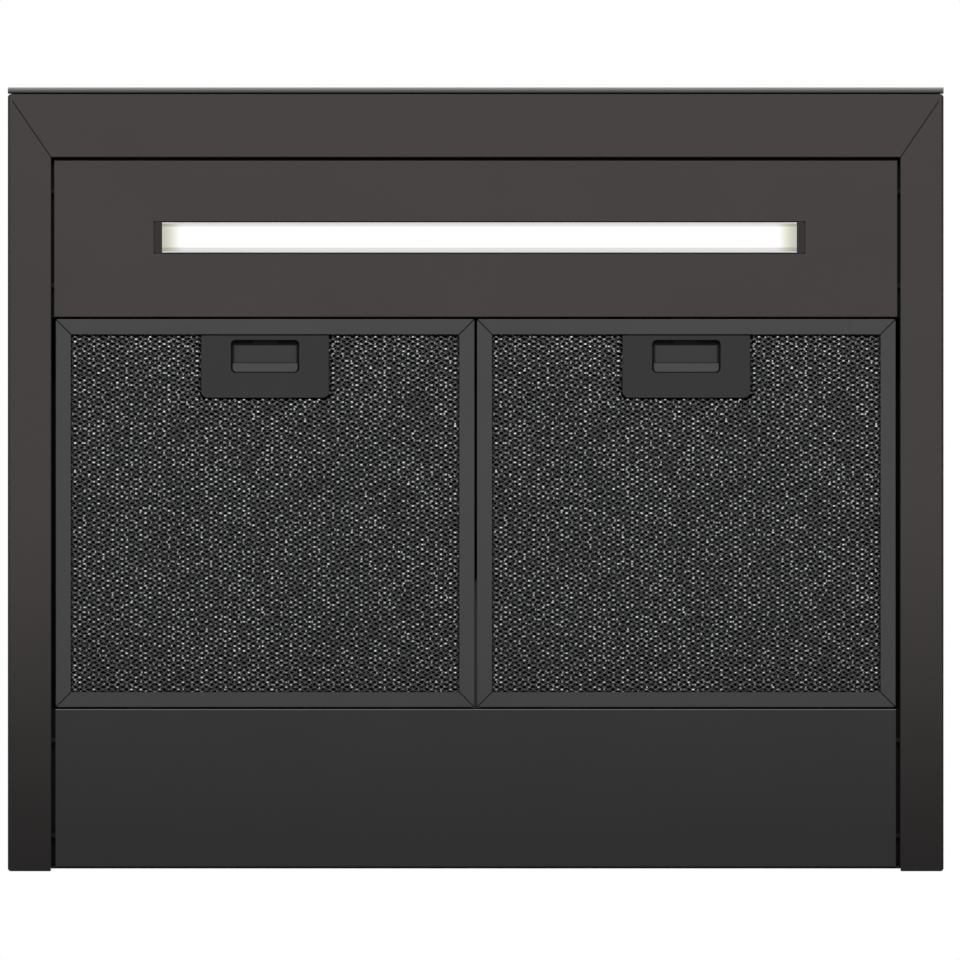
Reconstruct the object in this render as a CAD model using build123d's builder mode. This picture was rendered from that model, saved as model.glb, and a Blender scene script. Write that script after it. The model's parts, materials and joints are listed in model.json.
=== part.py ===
from build123d import *

import os
from math import atan2, cos, degrees, hypot, radians, sin, sqrt, tan

# Wall-mounted chimney range hood, 600 mm class, in millimetres.
# X runs along the width, Y towards the wall and Z up. The origin is midway between the two
# wall-fixing holes, on the rear face of the canopy's back plate.

# General stock and clearances
sheet = 1.0
seat_gap = 0.3
running_clearance = 0.05
hole_clearance = 0.2
bend_radius = 0.6
screw_radius = 1.9
screw_head_radius = 2.8
screw_head_height = 2.0
cut_margin = 1.0
pick_margin = 0.1
screw_length = 6.0

# Filters, as seen from below
filter_width = 267.7
filter_depth = 248.1
filter_height = 10.0
filter_border = 9.6
filter_top_border = 8.0
filter_corner_radius = 1.5
filter_gap = 1.6
filter_side_gap = 3.0
frame_wall = 1.0
mitre_width = 0.4
mitre_depth = 0.5
mesh_sheet = 1.6
mesh_rim_width = 8.0
mesh_rim_height = 7.0
tab_width = 16.0
tab_length = 12.0
tab_hold = 10.0
tab_spacing = 160.0
tab_slot_rise = 6.4
tab_slot_side_gap = 1.5
tab_corner_radius = 3.0

# Canopy underside
side_flange = 27.5
front_flange = 40.2
rear_panel_depth = 100.8
light_panel_depth = 100.3
light_front_gap = 1.9
light_side_gap = 1.9
rear_side_gap = 2.7
panel_gap = 1.3
panel_recess = 1.5
lip_height = 9.0
ear_width = 8.0
light_rear_flange = 14.0
rear_front_flange = 18.0
corner_radius = 2.0
mitre_share = 0.86
panel_screw_from_front = 20.0
panel_screw_from_rear = 20.0

# Canopy box
canopy_height = 60.0
mount_above_rim = 34.0
rail_overhang = 1.7
wall_hole_spacing = 200.0
wall_hole_radius = 4.2
lock_hole_spacing = 300.0
lock_hole_radius = 3.0
lock_hole_drop = 20.0
back_top_flange = 12.0

# Glass strip and touch controls
glass_thickness = 4.0
glass_edge_radius = 1.5
tape_thickness = 0.4
tape_width = 10.0
tape_inset = 6.0
tape_end_inset = 10.0
touch_length = 150.0
touch_height = 24.0
touch_board_thickness = 1.6
touch_window_gap = 1.0
touch_cover_length = 176.0
touch_cover_height = 36.0
touch_cover_depth = 12.0
touch_cover_wall = 2.0

# Lamp
lamp_length = 405.7
lamp_width = 19.2
lamp_wall = 0.7
lamp_height = 11.0
lamp_offset_x = 2.4
lamp_from_panel_front = 49.4
lamp_recess = 0.2
lamp_collar_height = 7.0
lamp_collar_gap = 0.3
end_cap_length = 5.1
end_cap_width = 20.0
end_cap_height = 11.6
end_cap_radius = 1.2
diffuser_thickness = 2.0
diffuser_gap = 0.1
diffuser_chamfer = 0.5
lamp_board_width = 12.0
board_thickness = 1.6
chip_size = 3.0
chip_height = 0.7
chip_count = 40
chip_pitch = 10.0
board_end_gap = 1.0

# Lamp driver and control box, hung under the canopy's top
driver_length = 120.0
driver_width = 45.0
driver_height = 20.0
driver_centre_x = -170.0
housing_radius = 2.0
control_length = 140.0
control_width = 75.0
control_height = 30.0
control_wall = 2.0
control_centre_x = 160.0
control_before_lamp = 0.5
control_boss_radius = 3.5
control_boss_drop = 13.0
control_boss_inset = 10.0
lid_thickness = 2.0
board_part_radius = 5.0
board_part_height = 8.0
board_part_pitch_x = 30.0
board_part_pitch_y = 26.0

# Latches, one per filter
latch_width = 81.6
latch_depth = 40.1
latch_front_gap = 0.6
latch_proud = 0.4
latch_face_to_cover = 7.4
latch_cover_thickness = 1.5
latch_corner_radius = 4.0
latch_tongue_width = 76.0
recess_width = 43.9
recess_from_front = 13.2
recess_depth = 21.1
recess_radius = 3.0
pocket_floor = 3.8
latch_skin = 1.0
channel_width = 48.0
channel_rear = 47.5
slider_gap = 0.3
slider_front = 15.3
slider_rear = 36.0
bolt_width = 16.0
bolt_proud = 0.9
bolt_channel_width = 17.2
ridge_width = 41.6
ridge_from_front = 27.8
ridge_depth = 6.2
ridge_corner_radius = 2.4
latch_travel = 6.0
spring_radius = 1.6
spring_bore_radius = 1.1
latch_window_width = 24.0
latch_window_height = 4.2
ridge_chamfer = 0.4
tongue_gap = 0.1
ridge_end_gap = 0.8

# Blower tower
tower_side_gap = 5.5
tower_depth = 227.0
tower_height = 262.0
tower_flange = 10.0
tower_screw_rear = 40.0
tower_screw_front = 190.0
tower_front_screw_spacing = 160.0
inlet_opening_side = 19.0
inlet_opening_front = 222.0
inlet_opening_rear = 14.0

# Blower scroll, impeller and motor, on an axis along X
axis_from_back = 100.0
axis_above_canopy = 102.0
scroll_radius = 78.0
scroll_step = 9.0
scroll_half_width = 57.0
scroll_wall = 2.0
outlet_rear = 39.0
tongue_angle = 99.0
scroll_flange = 8.0
scroll_flange_thickness = 3.0
scroll_screw_inset = 7.0
scroll_screw_length = 8.0
inlet_radius = 62.0
impeller_radius = 68.0
impeller_half_width = 48.0
blade_depth = 11.0
blade_thickness = 0.9
blade_count = 36
blade_arc_radius = 12.1
blade_arc_start = 62.0
blade_arc_sweep = 56.0
blade_from_rim = 0.6
blade_steps = 3
ring_thickness = 2.0
disc_half_thickness = 1.0
hub_radius = 12.0
hub_left = 15.0
hub_right = 6.0
shaft_radius = 4.0
shaft_overhang = 1.0
shaft_end_gap = 1.0
shaft_chamfer = 0.5
motor_radius = 40.0
motor_wall = 2.0
motor_corner_radius = 1.5
shaft_hole_gap = 1.0
motor_front = 9.0
bearing_radius = 8.0
bearing_width = 6.0
bearing_seat_wall = 3.0
stator_radius = 26.0
stator_length = 28.0
air_gap = 0.5
rotor_end_gap = 1.0
bracket_thickness = 2.0
bracket_disc_radius = 44.0
bracket_arm_width = 14.0
bracket_reach = 76.0
bracket_screw_radius = 71.5
bracket_vent_radius = 5.0
bracket_vent_inset = 10.0
bracket_vent_count = 6
guard_thickness = 1.6
guard_outer_radius = 67.0
guard_ring_width = 1.8
guard_ring_count = 6
guard_hub_radius = 20.0
guard_spokes = 8
guard_spoke_width = 2.0

# Motor capacitor, clipped to the tower's side
capacitor_radius = 15.0
capacitor_length = 60.0
capacitor_above_canopy = 64.0
capacitor_from_back = 60.0
clip_wall = 2.0
clip_height = 12.0
clip_pad_width = 44.0
terminal_height = 8.0
terminal_width = 6.0
terminal_thickness = 0.8
terminal_spacing = 10.0
capacitor_corner_radius = 1.5

# Outlet collar and backdraft flaps
outlet_radius = 74.5
collar_wall = 2.0
collar_height = 43.0
collar_flange_radius = 88.0
collar_flange_thickness = 3.0
gasket_thickness = 2.0
flap_height = 10.0
flap_lip_radius = 68.0
flap_lip_thickness = 1.7
flap_radius = 69.5
flap_thickness = 1.5
flap_axis_offset = 4.0
flap_axis_rise = 2.4
knuckle_radius = 2.2
knuckle_half_length = 71.6
flap_pin_radius = 1.5
flap_pin_reach = 73.6
flap_pin_hole_reach = 73.9
crossbar_width = 2.4
crossbar_height = 5.0

# Cable gland on top of the tower
gland_from_side = 27.0
gland_from_back = 30.0
gland_radius = 10.0
gland_bore_radius = 4.0
gland_thread_radius = 8.0
gland_rise = 13.0
gland_nut_radius = 12.0
gland_nut_height = 4.0
gland_thread_past_nut = 3.0
gland_crown_radius = 3.0

# Chimney
chimney_width = 300.0
chimney_depth = 250.0
lower_height = 400.0
upper_length = 520.0
chimney_gap = 0.5
chimney_corner_radius = 2.0
lower_rear_flange = 20.0
upper_rear_flange = 12.0
chimney_tab_width = 30.0
chimney_tab_depth = 8.2
chimney_tab_spacing = 200.0
vent_length = 60.0
vent_height = 5.0
vent_pitch = 11.0
vent_count = 5
vent_columns = 2
vent_column_pitch = 80.0
vent_below_top = 62.0
bracket_strip = 2.0
bracket_height = 24.0
bracket_below_top = 5.0
bracket_side_gap = 14.5
bracket_step = 12.0
bracket_ear = 32.0
bracket_hole_spacing = 200.0
bracket_hole_radius = 3.2
chimney_screw_head_radius = 3.5

# Wiring held inside the canopy
lead_radius = 2.5
lamp_lead_reach = 36.0
touch_lead_x = 40.0
touch_lead_z = 4.0
touch_lead_offset = 10.0
blower_lead_exit = 10.0
blower_lead_exit_z = 10.0
blower_lead_first_run = 70.0
blower_lead_second_run = 130.0
blower_lead_shift = 20.0
blower_lead_dip_z = 5.0
blower_lead_before_axis = 60.0
blower_lead_under_z = 7.0
blower_lead_turn = 8.0
blower_lead_turn_z = 42.0
blower_lead_rise_z = 88.0
blower_lead_from_edge = 10.0
blower_lead_lean = 6.0

# Places that follow from the sizes above
half_opening = filter_gap / 2 + filter_width + filter_side_gap
body_half = half_opening + side_flange
wall_y = rail_overhang
plate_front_y = -sheet
rear_panel_front_y = plate_front_y - rear_panel_depth
filter_rear_y = rear_panel_front_y - panel_gap
filter_front_y = filter_rear_y - filter_depth
light_rear_y = filter_front_y - panel_gap
light_front_y = light_rear_y - light_panel_depth
flange_y = light_front_y - light_front_gap
front_y = flange_y - front_flange
glass_back_y = front_y - tape_thickness
glass_front_y = glass_back_y - glass_thickness
rim_z = -mount_above_rim
top_z = rim_z + canopy_height
ceiling_z = top_z - sheet
face_z = rim_z + panel_recess
ear_z = rim_z + lip_height
lip_end_y = plate_front_y - seat_gap
filter_centre = filter_gap / 2 + filter_width / 2
light_half = half_opening - light_side_gap
rear_half = half_opening - rear_side_gap
lamp_y = light_front_y + lamp_from_panel_front
lamp_z = face_z + lamp_recess
control_centre_y = lamp_y - control_before_lamp
touch_z = rim_z + canopy_height / 2
tower_front_y = -tower_depth
tower_top_z = top_z + tower_height
axis_y = -axis_from_back
axis_z = top_z + axis_above_canopy
scroll_top_z = tower_top_z - sheet
scroll_front = scroll_radius + 3 * scroll_step
outlet_y = axis_y + (outlet_rear - scroll_front) / 2
collar_z = tower_top_z + gasket_thickness
flap_z = collar_z + flap_height
flap_axis_z = flap_z + flap_axis_rise
chimney_front_y = wall_y - chimney_depth
upper_bottom_z = top_z + sheet + seat_gap
upper_top_z = upper_bottom_z + upper_length
upper_half = chimney_width / 2 - sheet - chimney_gap
upper_front_y = chimney_front_y + sheet + chimney_gap
upper_rear_y = wall_y - sheet - chimney_gap
bracket_half_width = upper_half - bracket_side_gap
tower_half = upper_half - upper_rear_flange - tower_side_gap
inlet_opening_half = tower_half - inlet_opening_side
gland_x = tower_half - gland_from_side


# Shared shapes

def block(x_range, y_range, z_range, mode=Mode.ADD):
    """A box between two corners, added to or cut from the part being built."""
    low = (x_range[0], y_range[0], z_range[0])
    high = (x_range[1], y_range[1], z_range[1])
    centre = tuple((a + b) / 2 for a, b in zip(low, high))
    size = tuple(b - a for a, b in zip(low, high))
    with Locations(centre):
        Box(*size, mode=mode)


def rod_x(radius, x_range, y, z, mode=Mode.ADD):
    """A round bar or hole along X."""
    with Locations(((x_range[0] + x_range[1]) / 2, y, z)):
        Cylinder(radius, x_range[1] - x_range[0], rotation=(0, 90, 0), mode=mode)


def rod_y(radius, y_range, x, z, mode=Mode.ADD):
    """A round bar or hole along Y."""
    with Locations((x, (y_range[0] + y_range[1]) / 2, z)):
        Cylinder(radius, y_range[1] - y_range[0], rotation=(90, 0, 0), mode=mode)


def rod_z(radius, z_range, x, y, mode=Mode.ADD):
    """A round bar or hole along Z."""
    with Locations((x, y, (z_range[0] + z_range[1]) / 2)):
        Cylinder(radius, z_range[1] - z_range[0], mode=mode)


def plate(x_range, y_range, z_range, radius=0.0, mode=Mode.ADD):
    """A flat plate or pocket in plan, its upright corners rounded where a radius is given."""
    with BuildSketch(Plane.XY.offset(z_range[0])) as outline:
        with Locations(((x_range[0] + x_range[1]) / 2, (y_range[0] + y_range[1]) / 2)):
            if radius > 0:
                RectangleRounded(x_range[1] - x_range[0], y_range[1] - y_range[0], radius)
            else:
                Rectangle(x_range[1] - x_range[0], y_range[1] - y_range[0])
    extrude(outline.sketch, amount=z_range[1] - z_range[0], mode=mode)


def around(centre, half):
    """The range that reaches the same distance either side of a centre."""
    return (centre - half, centre + half)


def screw_down(x, y, z, length):
    """A pan-head screw standing on a surface at height z, its shank pointing down."""
    rod_z(screw_head_radius, (z, z + screw_head_height), x, y)
    rod_z(screw_radius, (z - length, z), x, y)


def mitre_groove(inner, outer, z_range, share=1.0):
    """A hairline groove that starts in the opening, just before its corner, and runs outwards."""
    angle = atan2(outer[1] - inner[1], outer[0] - inner[0])
    run = hypot(outer[0] - inner[0], outer[1] - inner[1]) * share + mitre_width
    middle = run / 2 - mitre_width
    centre_x = inner[0] + cos(angle) * middle
    centre_y = inner[1] + sin(angle) * middle
    with BuildSketch(Plane.XY.offset(z_range[0])) as groove:
        with Locations(Location((centre_x, centre_y, 0), (0, 0, degrees(angle)))):
            Rectangle(run, mitre_width)
    extrude(groove.sketch, amount=z_range[1] - z_range[0], mode=Mode.SUBTRACT)


os.makedirs("parts", exist_ok=True)


def save(piece, name):
    """Label a finished piece and write it."""
    piece.part.label = name
    export_step(piece.part, f"parts/{name}.step")


# Screw places, used by the screws and by the holes that they pass through
def side_screw_places(front, rear):
    """Two screws on each side of a panel that reaches from front to rear."""
    ends = (front + panel_screw_from_front, rear - panel_screw_from_rear)
    return [(side, y) for side in (-1, 1) for y in ends]


light_screw_places = side_screw_places(light_front_y, light_rear_y)
rear_screw_places = side_screw_places(rear_panel_front_y, plate_front_y)
panel_screw_z = (face_z + sheet + ear_z) / 2
tower_screw_places = [
    (side * (tower_half + tower_flange / 2), -y)
    for side in (-1, 1)
    for y in (tower_screw_rear, tower_screw_front)
]
tower_screw_places += [
    (side * tower_front_screw_spacing / 2, tower_front_y - tower_flange / 2) for side in (-1, 1)
]
chimney_tab_y = chimney_front_y + sheet
chimney_screw_y = chimney_tab_y + chimney_tab_depth - screw_head_radius - seat_gap
chimney_screw_places = [(side * chimney_tab_spacing / 2, chimney_screw_y) for side in (-1, 1)]
scroll_flange_front_y = axis_y - scroll_front - scroll_flange
scroll_flange_rear_y = axis_y + outlet_rear + scroll_flange
scroll_screw_places = [
    (side * (scroll_half_width + scroll_flange / 2), y)
    for side in (-1, 1)
    for y in (scroll_flange_front_y + scroll_screw_inset, scroll_flange_rear_y - scroll_screw_inset)
]


# Canopy shell: top, front, sides and mitred bottom flanges with upturned lips
with BuildPart() as canopy_shell:
    plate((-body_half, body_half), (front_y, wall_y), (rim_z, top_z), corner_radius)
    fillet(canopy_shell.edges().group_by(Axis.Z)[0], bend_radius)
    fillet(canopy_shell.edges().group_by(Axis.Z)[-1], bend_radius)
    inner_half = body_half - sheet
    block(
        (-inner_half, inner_half),
        (front_y + sheet, wall_y + cut_margin),
        (rim_z + sheet, ceiling_z),
        mode=Mode.SUBTRACT,
    )
    block(
        (-half_opening, half_opening),
        (flange_y, wall_y + cut_margin),
        (rim_z - cut_margin, rim_z + sheet + cut_margin),
        mode=Mode.SUBTRACT,
    )
    for side in (-1, 1):
        lip_x = sorted((side * half_opening, side * (half_opening + sheet)))
        block(lip_x, (flange_y - sheet, lip_end_y), (rim_z, ear_z))
    block(
        (-half_opening - sheet, half_opening + sheet),
        (flange_y - sheet, flange_y),
        (rim_z, ear_z),
    )
    rim_edges = canopy_shell.edges().filter_by_position(Axis.Z, rim_z - pick_margin, rim_z + pick_margin)
    opening_edges = rim_edges.filter_by(
        lambda e: abs(e.center().X) < half_opening + pick_margin
        and flange_y - pick_margin < e.center().Y < wall_y - pick_margin
    )
    fillet(opening_edges, bend_radius)
    for side in (-1, 1):
        mitre_groove(
            (side * half_opening, flange_y),
            (side * body_half, front_y),
            (rim_z - cut_margin, rim_z + mitre_depth),
            mitre_share,
        )
    block(
        around(0, touch_length / 2 + touch_window_gap),
        (front_y - cut_margin, front_y + sheet + cut_margin),
        around(touch_z, touch_height / 2 + touch_window_gap),
        mode=Mode.SUBTRACT,
    )
    block(
        (-inlet_opening_half, inlet_opening_half),
        (-inlet_opening_front, -inlet_opening_rear),
        (ceiling_z - cut_margin, top_z + cut_margin),
        mode=Mode.SUBTRACT,
    )
    for x, y in tower_screw_places + chimney_screw_places:
        hole_range = (ceiling_z - cut_margin, top_z + cut_margin)
        rod_z(screw_radius + hole_clearance, hole_range, x, y, Mode.SUBTRACT)
    for side, y in light_screw_places + rear_screw_places:
        hole_range = sorted(
            (side * (half_opening - cut_margin), side * (half_opening + sheet + cut_margin))
        )
        rod_x(screw_radius + running_clearance, hole_range, y, panel_screw_z, Mode.SUBTRACT)
save(canopy_shell, "canopy_shell")


# Back plate with the wall-fixing and locking holes
with BuildPart() as canopy_back:
    block((-inner_half, inner_half), (plate_front_y, 0), (face_z, ceiling_z))
    block((-inner_half, inner_half), (-back_top_flange, 0), (ceiling_z - sheet, ceiling_z))
    for side in (-1, 1):
        wall_x = side * wall_hole_spacing / 2
        lock_x = side * lock_hole_spacing / 2
        rod_y(wall_hole_radius, (-2 * sheet, sheet), wall_x, 0, Mode.SUBTRACT)
        rod_y(lock_hole_radius, (-2 * sheet, sheet), lock_x, -lock_hole_drop, Mode.SUBTRACT)
save(canopy_back, "canopy_back")


def folded_panel(half, y_range, side_rise):
    """A pan with a rounded fold, upturned walls and an ear along each side that sits on a lip."""
    plate((-half, half), y_range, (face_z, face_z + side_rise))
    fillet(context_edges_at(face_z), bend_radius)
    block(
        (-half + sheet, half - sheet),
        (y_range[0] + sheet, y_range[1] - sheet),
        (face_z + sheet, face_z + side_rise + cut_margin),
        mode=Mode.SUBTRACT,
    )
    for side in (-1, 1):
        ear_x = sorted((side * (half - sheet), side * (half_opening + ear_width)))
        block(ear_x, (y_range[0], min(y_range[1], lip_end_y)), (ear_z, ear_z + sheet))


def context_edges_at(z):
    """The edges of the part being built that lie in the plane at height z."""
    return edges().filter_by_position(Axis.Z, z - pick_margin, z + pick_margin)


# Light panel with the lamp's collared cut-out and the two latch windows
pan_rise = ear_z + sheet - face_z
with BuildPart() as light_panel:
    folded_panel(light_half, (light_front_y, light_rear_y), pan_rise)
    block(
        (-light_half, light_half),
        (flange_y - sheet - ear_width, light_front_y + sheet),
        (ear_z, ear_z + sheet),
    )
    block(
        (-light_half, light_half),
        (light_rear_y - sheet, light_rear_y),
        (ear_z, face_z + light_rear_flange),
    )
    cutout_half_x = lamp_length / 2 + end_cap_length + lamp_collar_gap
    cutout_half_y = end_cap_width / 2 + lamp_collar_gap
    block(
        around(lamp_offset_x, cutout_half_x + sheet),
        around(lamp_y, cutout_half_y + sheet),
        (face_z, face_z + lamp_collar_height),
    )
    block(
        around(lamp_offset_x, cutout_half_x),
        around(lamp_y, cutout_half_y),
        (face_z - cut_margin, face_z + lamp_collar_height + cut_margin),
        mode=Mode.SUBTRACT,
    )
    window_z = face_z + pocket_floor
    for side in (-1, 1):
        block(
            around(side * filter_centre, latch_window_width / 2),
            (light_rear_y - 2 * sheet, light_rear_y + sheet),
            (window_z, window_z + latch_window_height),
            mode=Mode.SUBTRACT,
        )
    for side, y in light_screw_places:
        hole_range = sorted((side * (light_half - 2 * sheet), side * (light_half + sheet)))
        rod_x(screw_radius + hole_clearance, hole_range, y, panel_screw_z, Mode.SUBTRACT)
save(light_panel, "light_panel")


# Rear panel, its front wall slotted for the filters' tabs
tab_z = face_z + frame_wall + mesh_rim_height
with BuildPart() as rear_panel:
    folded_panel(rear_half, (rear_panel_front_y, plate_front_y), pan_rise)
    block(
        (-rear_half, rear_half),
        (rear_panel_front_y, rear_panel_front_y + sheet),
        (ear_z, face_z + rear_front_flange),
    )
    for side in (-1, 1):
        for shift in (-tab_spacing / 2, tab_spacing / 2):
            block(
                around(side * filter_centre + shift, tab_width / 2 + tab_slot_side_gap),
                (rear_panel_front_y - sheet, rear_panel_front_y + 2 * sheet),
                (tab_z - seat_gap, tab_z + tab_slot_rise),
                mode=Mode.SUBTRACT,
            )
    for side, y in rear_screw_places:
        hole_range = sorted((side * (rear_half - 2 * sheet), side * (rear_half + sheet)))
        rod_x(screw_radius + hole_clearance, hole_range, y, panel_screw_z, Mode.SUBTRACT)
save(rear_panel, "rear_panel")


# Screws that hold the two panels, the tower and the lower chimney
with BuildPart() as body_screws:
    for half, places in ((light_half, light_screw_places), (rear_half, rear_screw_places)):
        for side, y in places:
            head_x = half - sheet
            rod_x(
                screw_head_radius,
                sorted((side * (head_x - screw_head_height), side * head_x)),
                y,
                panel_screw_z,
            )
            shank = sorted((side * head_x, side * (half_opening + 2.5 * sheet)))
            rod_x(screw_radius, shank, y, panel_screw_z)
    for x, y in tower_screw_places + chimney_screw_places:
        screw_down(x, y, top_z + sheet, screw_length)
save(body_screws, "body_screws")


# Glass strip and the two bonding strips behind it
with BuildPart() as front_glass:
    block((-body_half, body_half), (glass_front_y, glass_back_y), (rim_z, top_z))
    fillet(front_glass.edges().filter_by(Axis.X), glass_edge_radius)
save(front_glass, "front_glass")

with BuildPart() as glass_tape:
    tape_half = body_half - tape_end_inset
    for low in (rim_z + tape_inset, top_z - tape_inset - tape_width):
        block((-tape_half, tape_half), (glass_back_y, front_y), (low, low + tape_width))
save(glass_tape, "glass_tape")

# Touch board against the glass, and the cover behind it
with BuildPart() as touch_board:
    block(
        around(0, touch_length / 2),
        (glass_back_y, glass_back_y + touch_board_thickness),
        around(touch_z, touch_height / 2),
    )
save(touch_board, "touch_board")

cover_front_y = front_y + sheet
cover_rear_y = cover_front_y + touch_cover_depth
with BuildPart() as touch_cover:
    block(
        around(0, touch_cover_length / 2),
        (cover_front_y, cover_rear_y),
        around(touch_z, touch_cover_height / 2),
    )
    fillet(touch_cover.edges().filter_by(Axis.Y), housing_radius)
    block(
        around(0, touch_cover_length / 2 - 2 * touch_cover_wall),
        (cover_front_y - cut_margin, cover_rear_y - touch_cover_wall),
        around(touch_z, touch_cover_height / 2 - 2 * touch_cover_wall),
        mode=Mode.SUBTRACT,
    )
save(touch_cover, "touch_cover")


# Lamp profile, board, cover and ends
with BuildPart() as led_channel:
    block(
        around(lamp_offset_x, lamp_length / 2),
        around(lamp_y, lamp_width / 2),
        (lamp_z, lamp_z + lamp_height),
    )
    block(
        around(lamp_offset_x, lamp_length / 2 + cut_margin),
        around(lamp_y, lamp_width / 2 - lamp_wall),
        (lamp_z - cut_margin, lamp_z + lamp_height - lamp_wall),
        mode=Mode.SUBTRACT,
    )
save(led_channel, "led_channel")

board_top_z = lamp_z + lamp_height - lamp_wall
with BuildPart() as led_board:
    block(
        around(lamp_offset_x, lamp_length / 2 - board_end_gap),
        around(lamp_y, lamp_board_width / 2),
        (board_top_z - board_thickness, board_top_z),
    )
    with Locations((lamp_offset_x, lamp_y, board_top_z - board_thickness - chip_height / 2)):
        with GridLocations(chip_pitch, 0, chip_count, 1):
            Box(chip_size, chip_size, chip_height)
save(led_board, "led_board")

with BuildPart() as led_diffuser:
    block(
        around(lamp_offset_x, lamp_length / 2),
        around(lamp_y, lamp_width / 2 - lamp_wall - diffuser_gap),
        (lamp_z, lamp_z + diffuser_thickness),
    )
    chamfer(led_diffuser.edges().filter_by(Axis.X).group_by(Axis.Z)[0], diffuser_chamfer)
save(led_diffuser, "led_diffuser")

with BuildPart() as led_end_caps:
    for side in (-1, 1):
        near = lamp_offset_x + side * lamp_length / 2
        far = near + side * end_cap_length
        block(
            sorted((near, far)),
            around(lamp_y, end_cap_width / 2),
            (face_z, face_z + end_cap_height),
        )
    outer_edges = led_end_caps.edges().filter_by(Axis.Z).filter_by(
        lambda e: abs(e.center().X - lamp_offset_x) > lamp_length / 2 + end_cap_length / 2
    )
    fillet(outer_edges, end_cap_radius)
save(led_end_caps, "led_end_caps")

# Lamp driver under the canopy's top
with BuildPart() as led_driver:
    plate(
        around(driver_centre_x, driver_length / 2),
        around(lamp_y, driver_width / 2),
        (ceiling_z - driver_height, ceiling_z),
        housing_radius,
    )
    fillet(led_driver.edges().group_by(Axis.Z)[0], housing_radius / 2)
save(led_driver, "led_driver")

# Control box with its board and lid
control_x = around(control_centre_x, control_length / 2)
control_y = around(control_centre_y, control_width / 2)
control_low_z = ceiling_z - control_height
with BuildPart() as control_box:
    plate(control_x, control_y, (control_low_z, ceiling_z), housing_radius)
    block(
        (control_x[0] + control_wall, control_x[1] - control_wall),
        (control_y[0] + control_wall, control_y[1] - control_wall),
        (control_low_z - cut_margin, ceiling_z - control_wall),
        mode=Mode.SUBTRACT,
    )
    with Locations((control_centre_x, control_centre_y, ceiling_z - control_boss_drop / 2)):
        with GridLocations(
            control_length - 2 * control_boss_inset, control_width - 2 * control_boss_inset, 2, 2
        ):
            Cylinder(control_boss_radius, control_boss_drop)
save(control_box, "control_box")

with BuildPart() as control_board:
    board_z = ceiling_z - control_boss_drop
    block(
        (control_x[0] + 2 * control_wall, control_x[1] - 2 * control_wall),
        (control_y[0] + 2 * control_wall, control_y[1] - 2 * control_wall),
        (board_z - board_thickness, board_z),
    )
    part_z = board_z - board_thickness - board_part_height / 2
    with Locations((control_centre_x, control_centre_y, part_z)):
        with GridLocations(board_part_pitch_x, board_part_pitch_y, 3, 2):
            Cylinder(board_part_radius, board_part_height)
save(control_board, "control_board")

with BuildPart() as control_lid:
    plate(control_x, control_y, (control_low_z - lid_thickness, control_low_z), housing_radius)
save(control_lid, "control_lid")


# Wiring: lamp lead, touch lead and blower lead, each one run of tube with wide bends
def lead_path(points):
    """Bend radii for a route, each as wide as its two runs allow."""
    radii = []
    for before, here, after in zip(points, points[1:], points[2:]):
        first = Vector(*here) - Vector(*before)
        second = Vector(*after) - Vector(*here)
        turn = radians(first.get_angle(second))
        radii.append(0.45 * min(first.length, second.length) / tan(turn / 2))
    return radii


lamp_lead_route = [
    (driver_centre_x + driver_length / 2, lamp_y, ceiling_z - driver_height / 2),
    (driver_centre_x + driver_length / 2 + lamp_lead_reach, lamp_y, ceiling_z - driver_height / 2),
    (driver_centre_x + driver_length / 2 + lamp_lead_reach, lamp_y, lamp_z + lamp_height),
]
touch_lead_route = [
    (touch_lead_x, cover_rear_y, touch_lead_z),
    (touch_lead_x, control_centre_y - touch_lead_offset, touch_lead_z),
    (control_x[0], control_centre_y - touch_lead_offset, touch_lead_z),
]
guard_outer_x = scroll_half_width + bracket_thickness + guard_thickness
exit_x = control_centre_x - blower_lead_exit
under_x = inlet_opening_half - blower_lead_from_edge
beside_x = under_x - blower_lead_lean
blower_lead_route = [
    (exit_x, control_y[1], blower_lead_exit_z),
    (exit_x, control_y[1] + blower_lead_first_run, blower_lead_exit_z),
    (exit_x - blower_lead_shift, control_y[1] + blower_lead_second_run, blower_lead_dip_z),
    (under_x, axis_y - blower_lead_before_axis, blower_lead_under_z),
    (beside_x, axis_y - blower_lead_turn, blower_lead_turn_z),
    (beside_x - 1, axis_y, blower_lead_rise_z),
    (beside_x - 2, axis_y, axis_z),
    (guard_outer_x, axis_y, axis_z),
]
with BuildPart() as wiring_leads:
    for route in (lamp_lead_route, touch_lead_route, blower_lead_route):
        with BuildLine() as lead_line:
            FilletPolyline(*route, radius=lead_path(route))
        with BuildSketch(Plane(origin=lead_line.line @ 0, z_dir=lead_line.line % 0)):
            Circle(lead_radius)
        sweep(path=lead_line.line)
        print("lead bend radii", [round(r, 1) for r in lead_path(route)])
save(wiring_leads, "wiring_leads")


# Blower tower: folded front and sides, back plate and top plate
with BuildPart() as tower_shell:
    with BuildSketch(Plane.XY.offset(top_z)):
        with Locations((0, (tower_front_y - sheet) / 2)):
            Rectangle(2 * tower_half, tower_depth - sheet)
        with Locations((0, (tower_front_y + sheet) / 2)):
            Rectangle(2 * (tower_half - sheet), tower_depth - sheet, mode=Mode.SUBTRACT)
    extrude(amount=tower_height - sheet)
    for side in (-1, 1):
        foot_x = sorted((side * (tower_half - sheet), side * (tower_half + tower_flange)))
        block(foot_x, (tower_front_y, -sheet), (top_z, top_z + sheet))
    block(
        (-tower_half - tower_flange, tower_half + tower_flange),
        (tower_front_y - tower_flange, tower_front_y + sheet),
        (top_z, top_z + sheet),
    )
    for x, y in tower_screw_places:
        hole_range = (top_z - sheet, top_z + 2 * sheet)
        rod_z(screw_radius + hole_clearance, hole_range, x, y, Mode.SUBTRACT)
save(tower_shell, "tower_shell")

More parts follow.
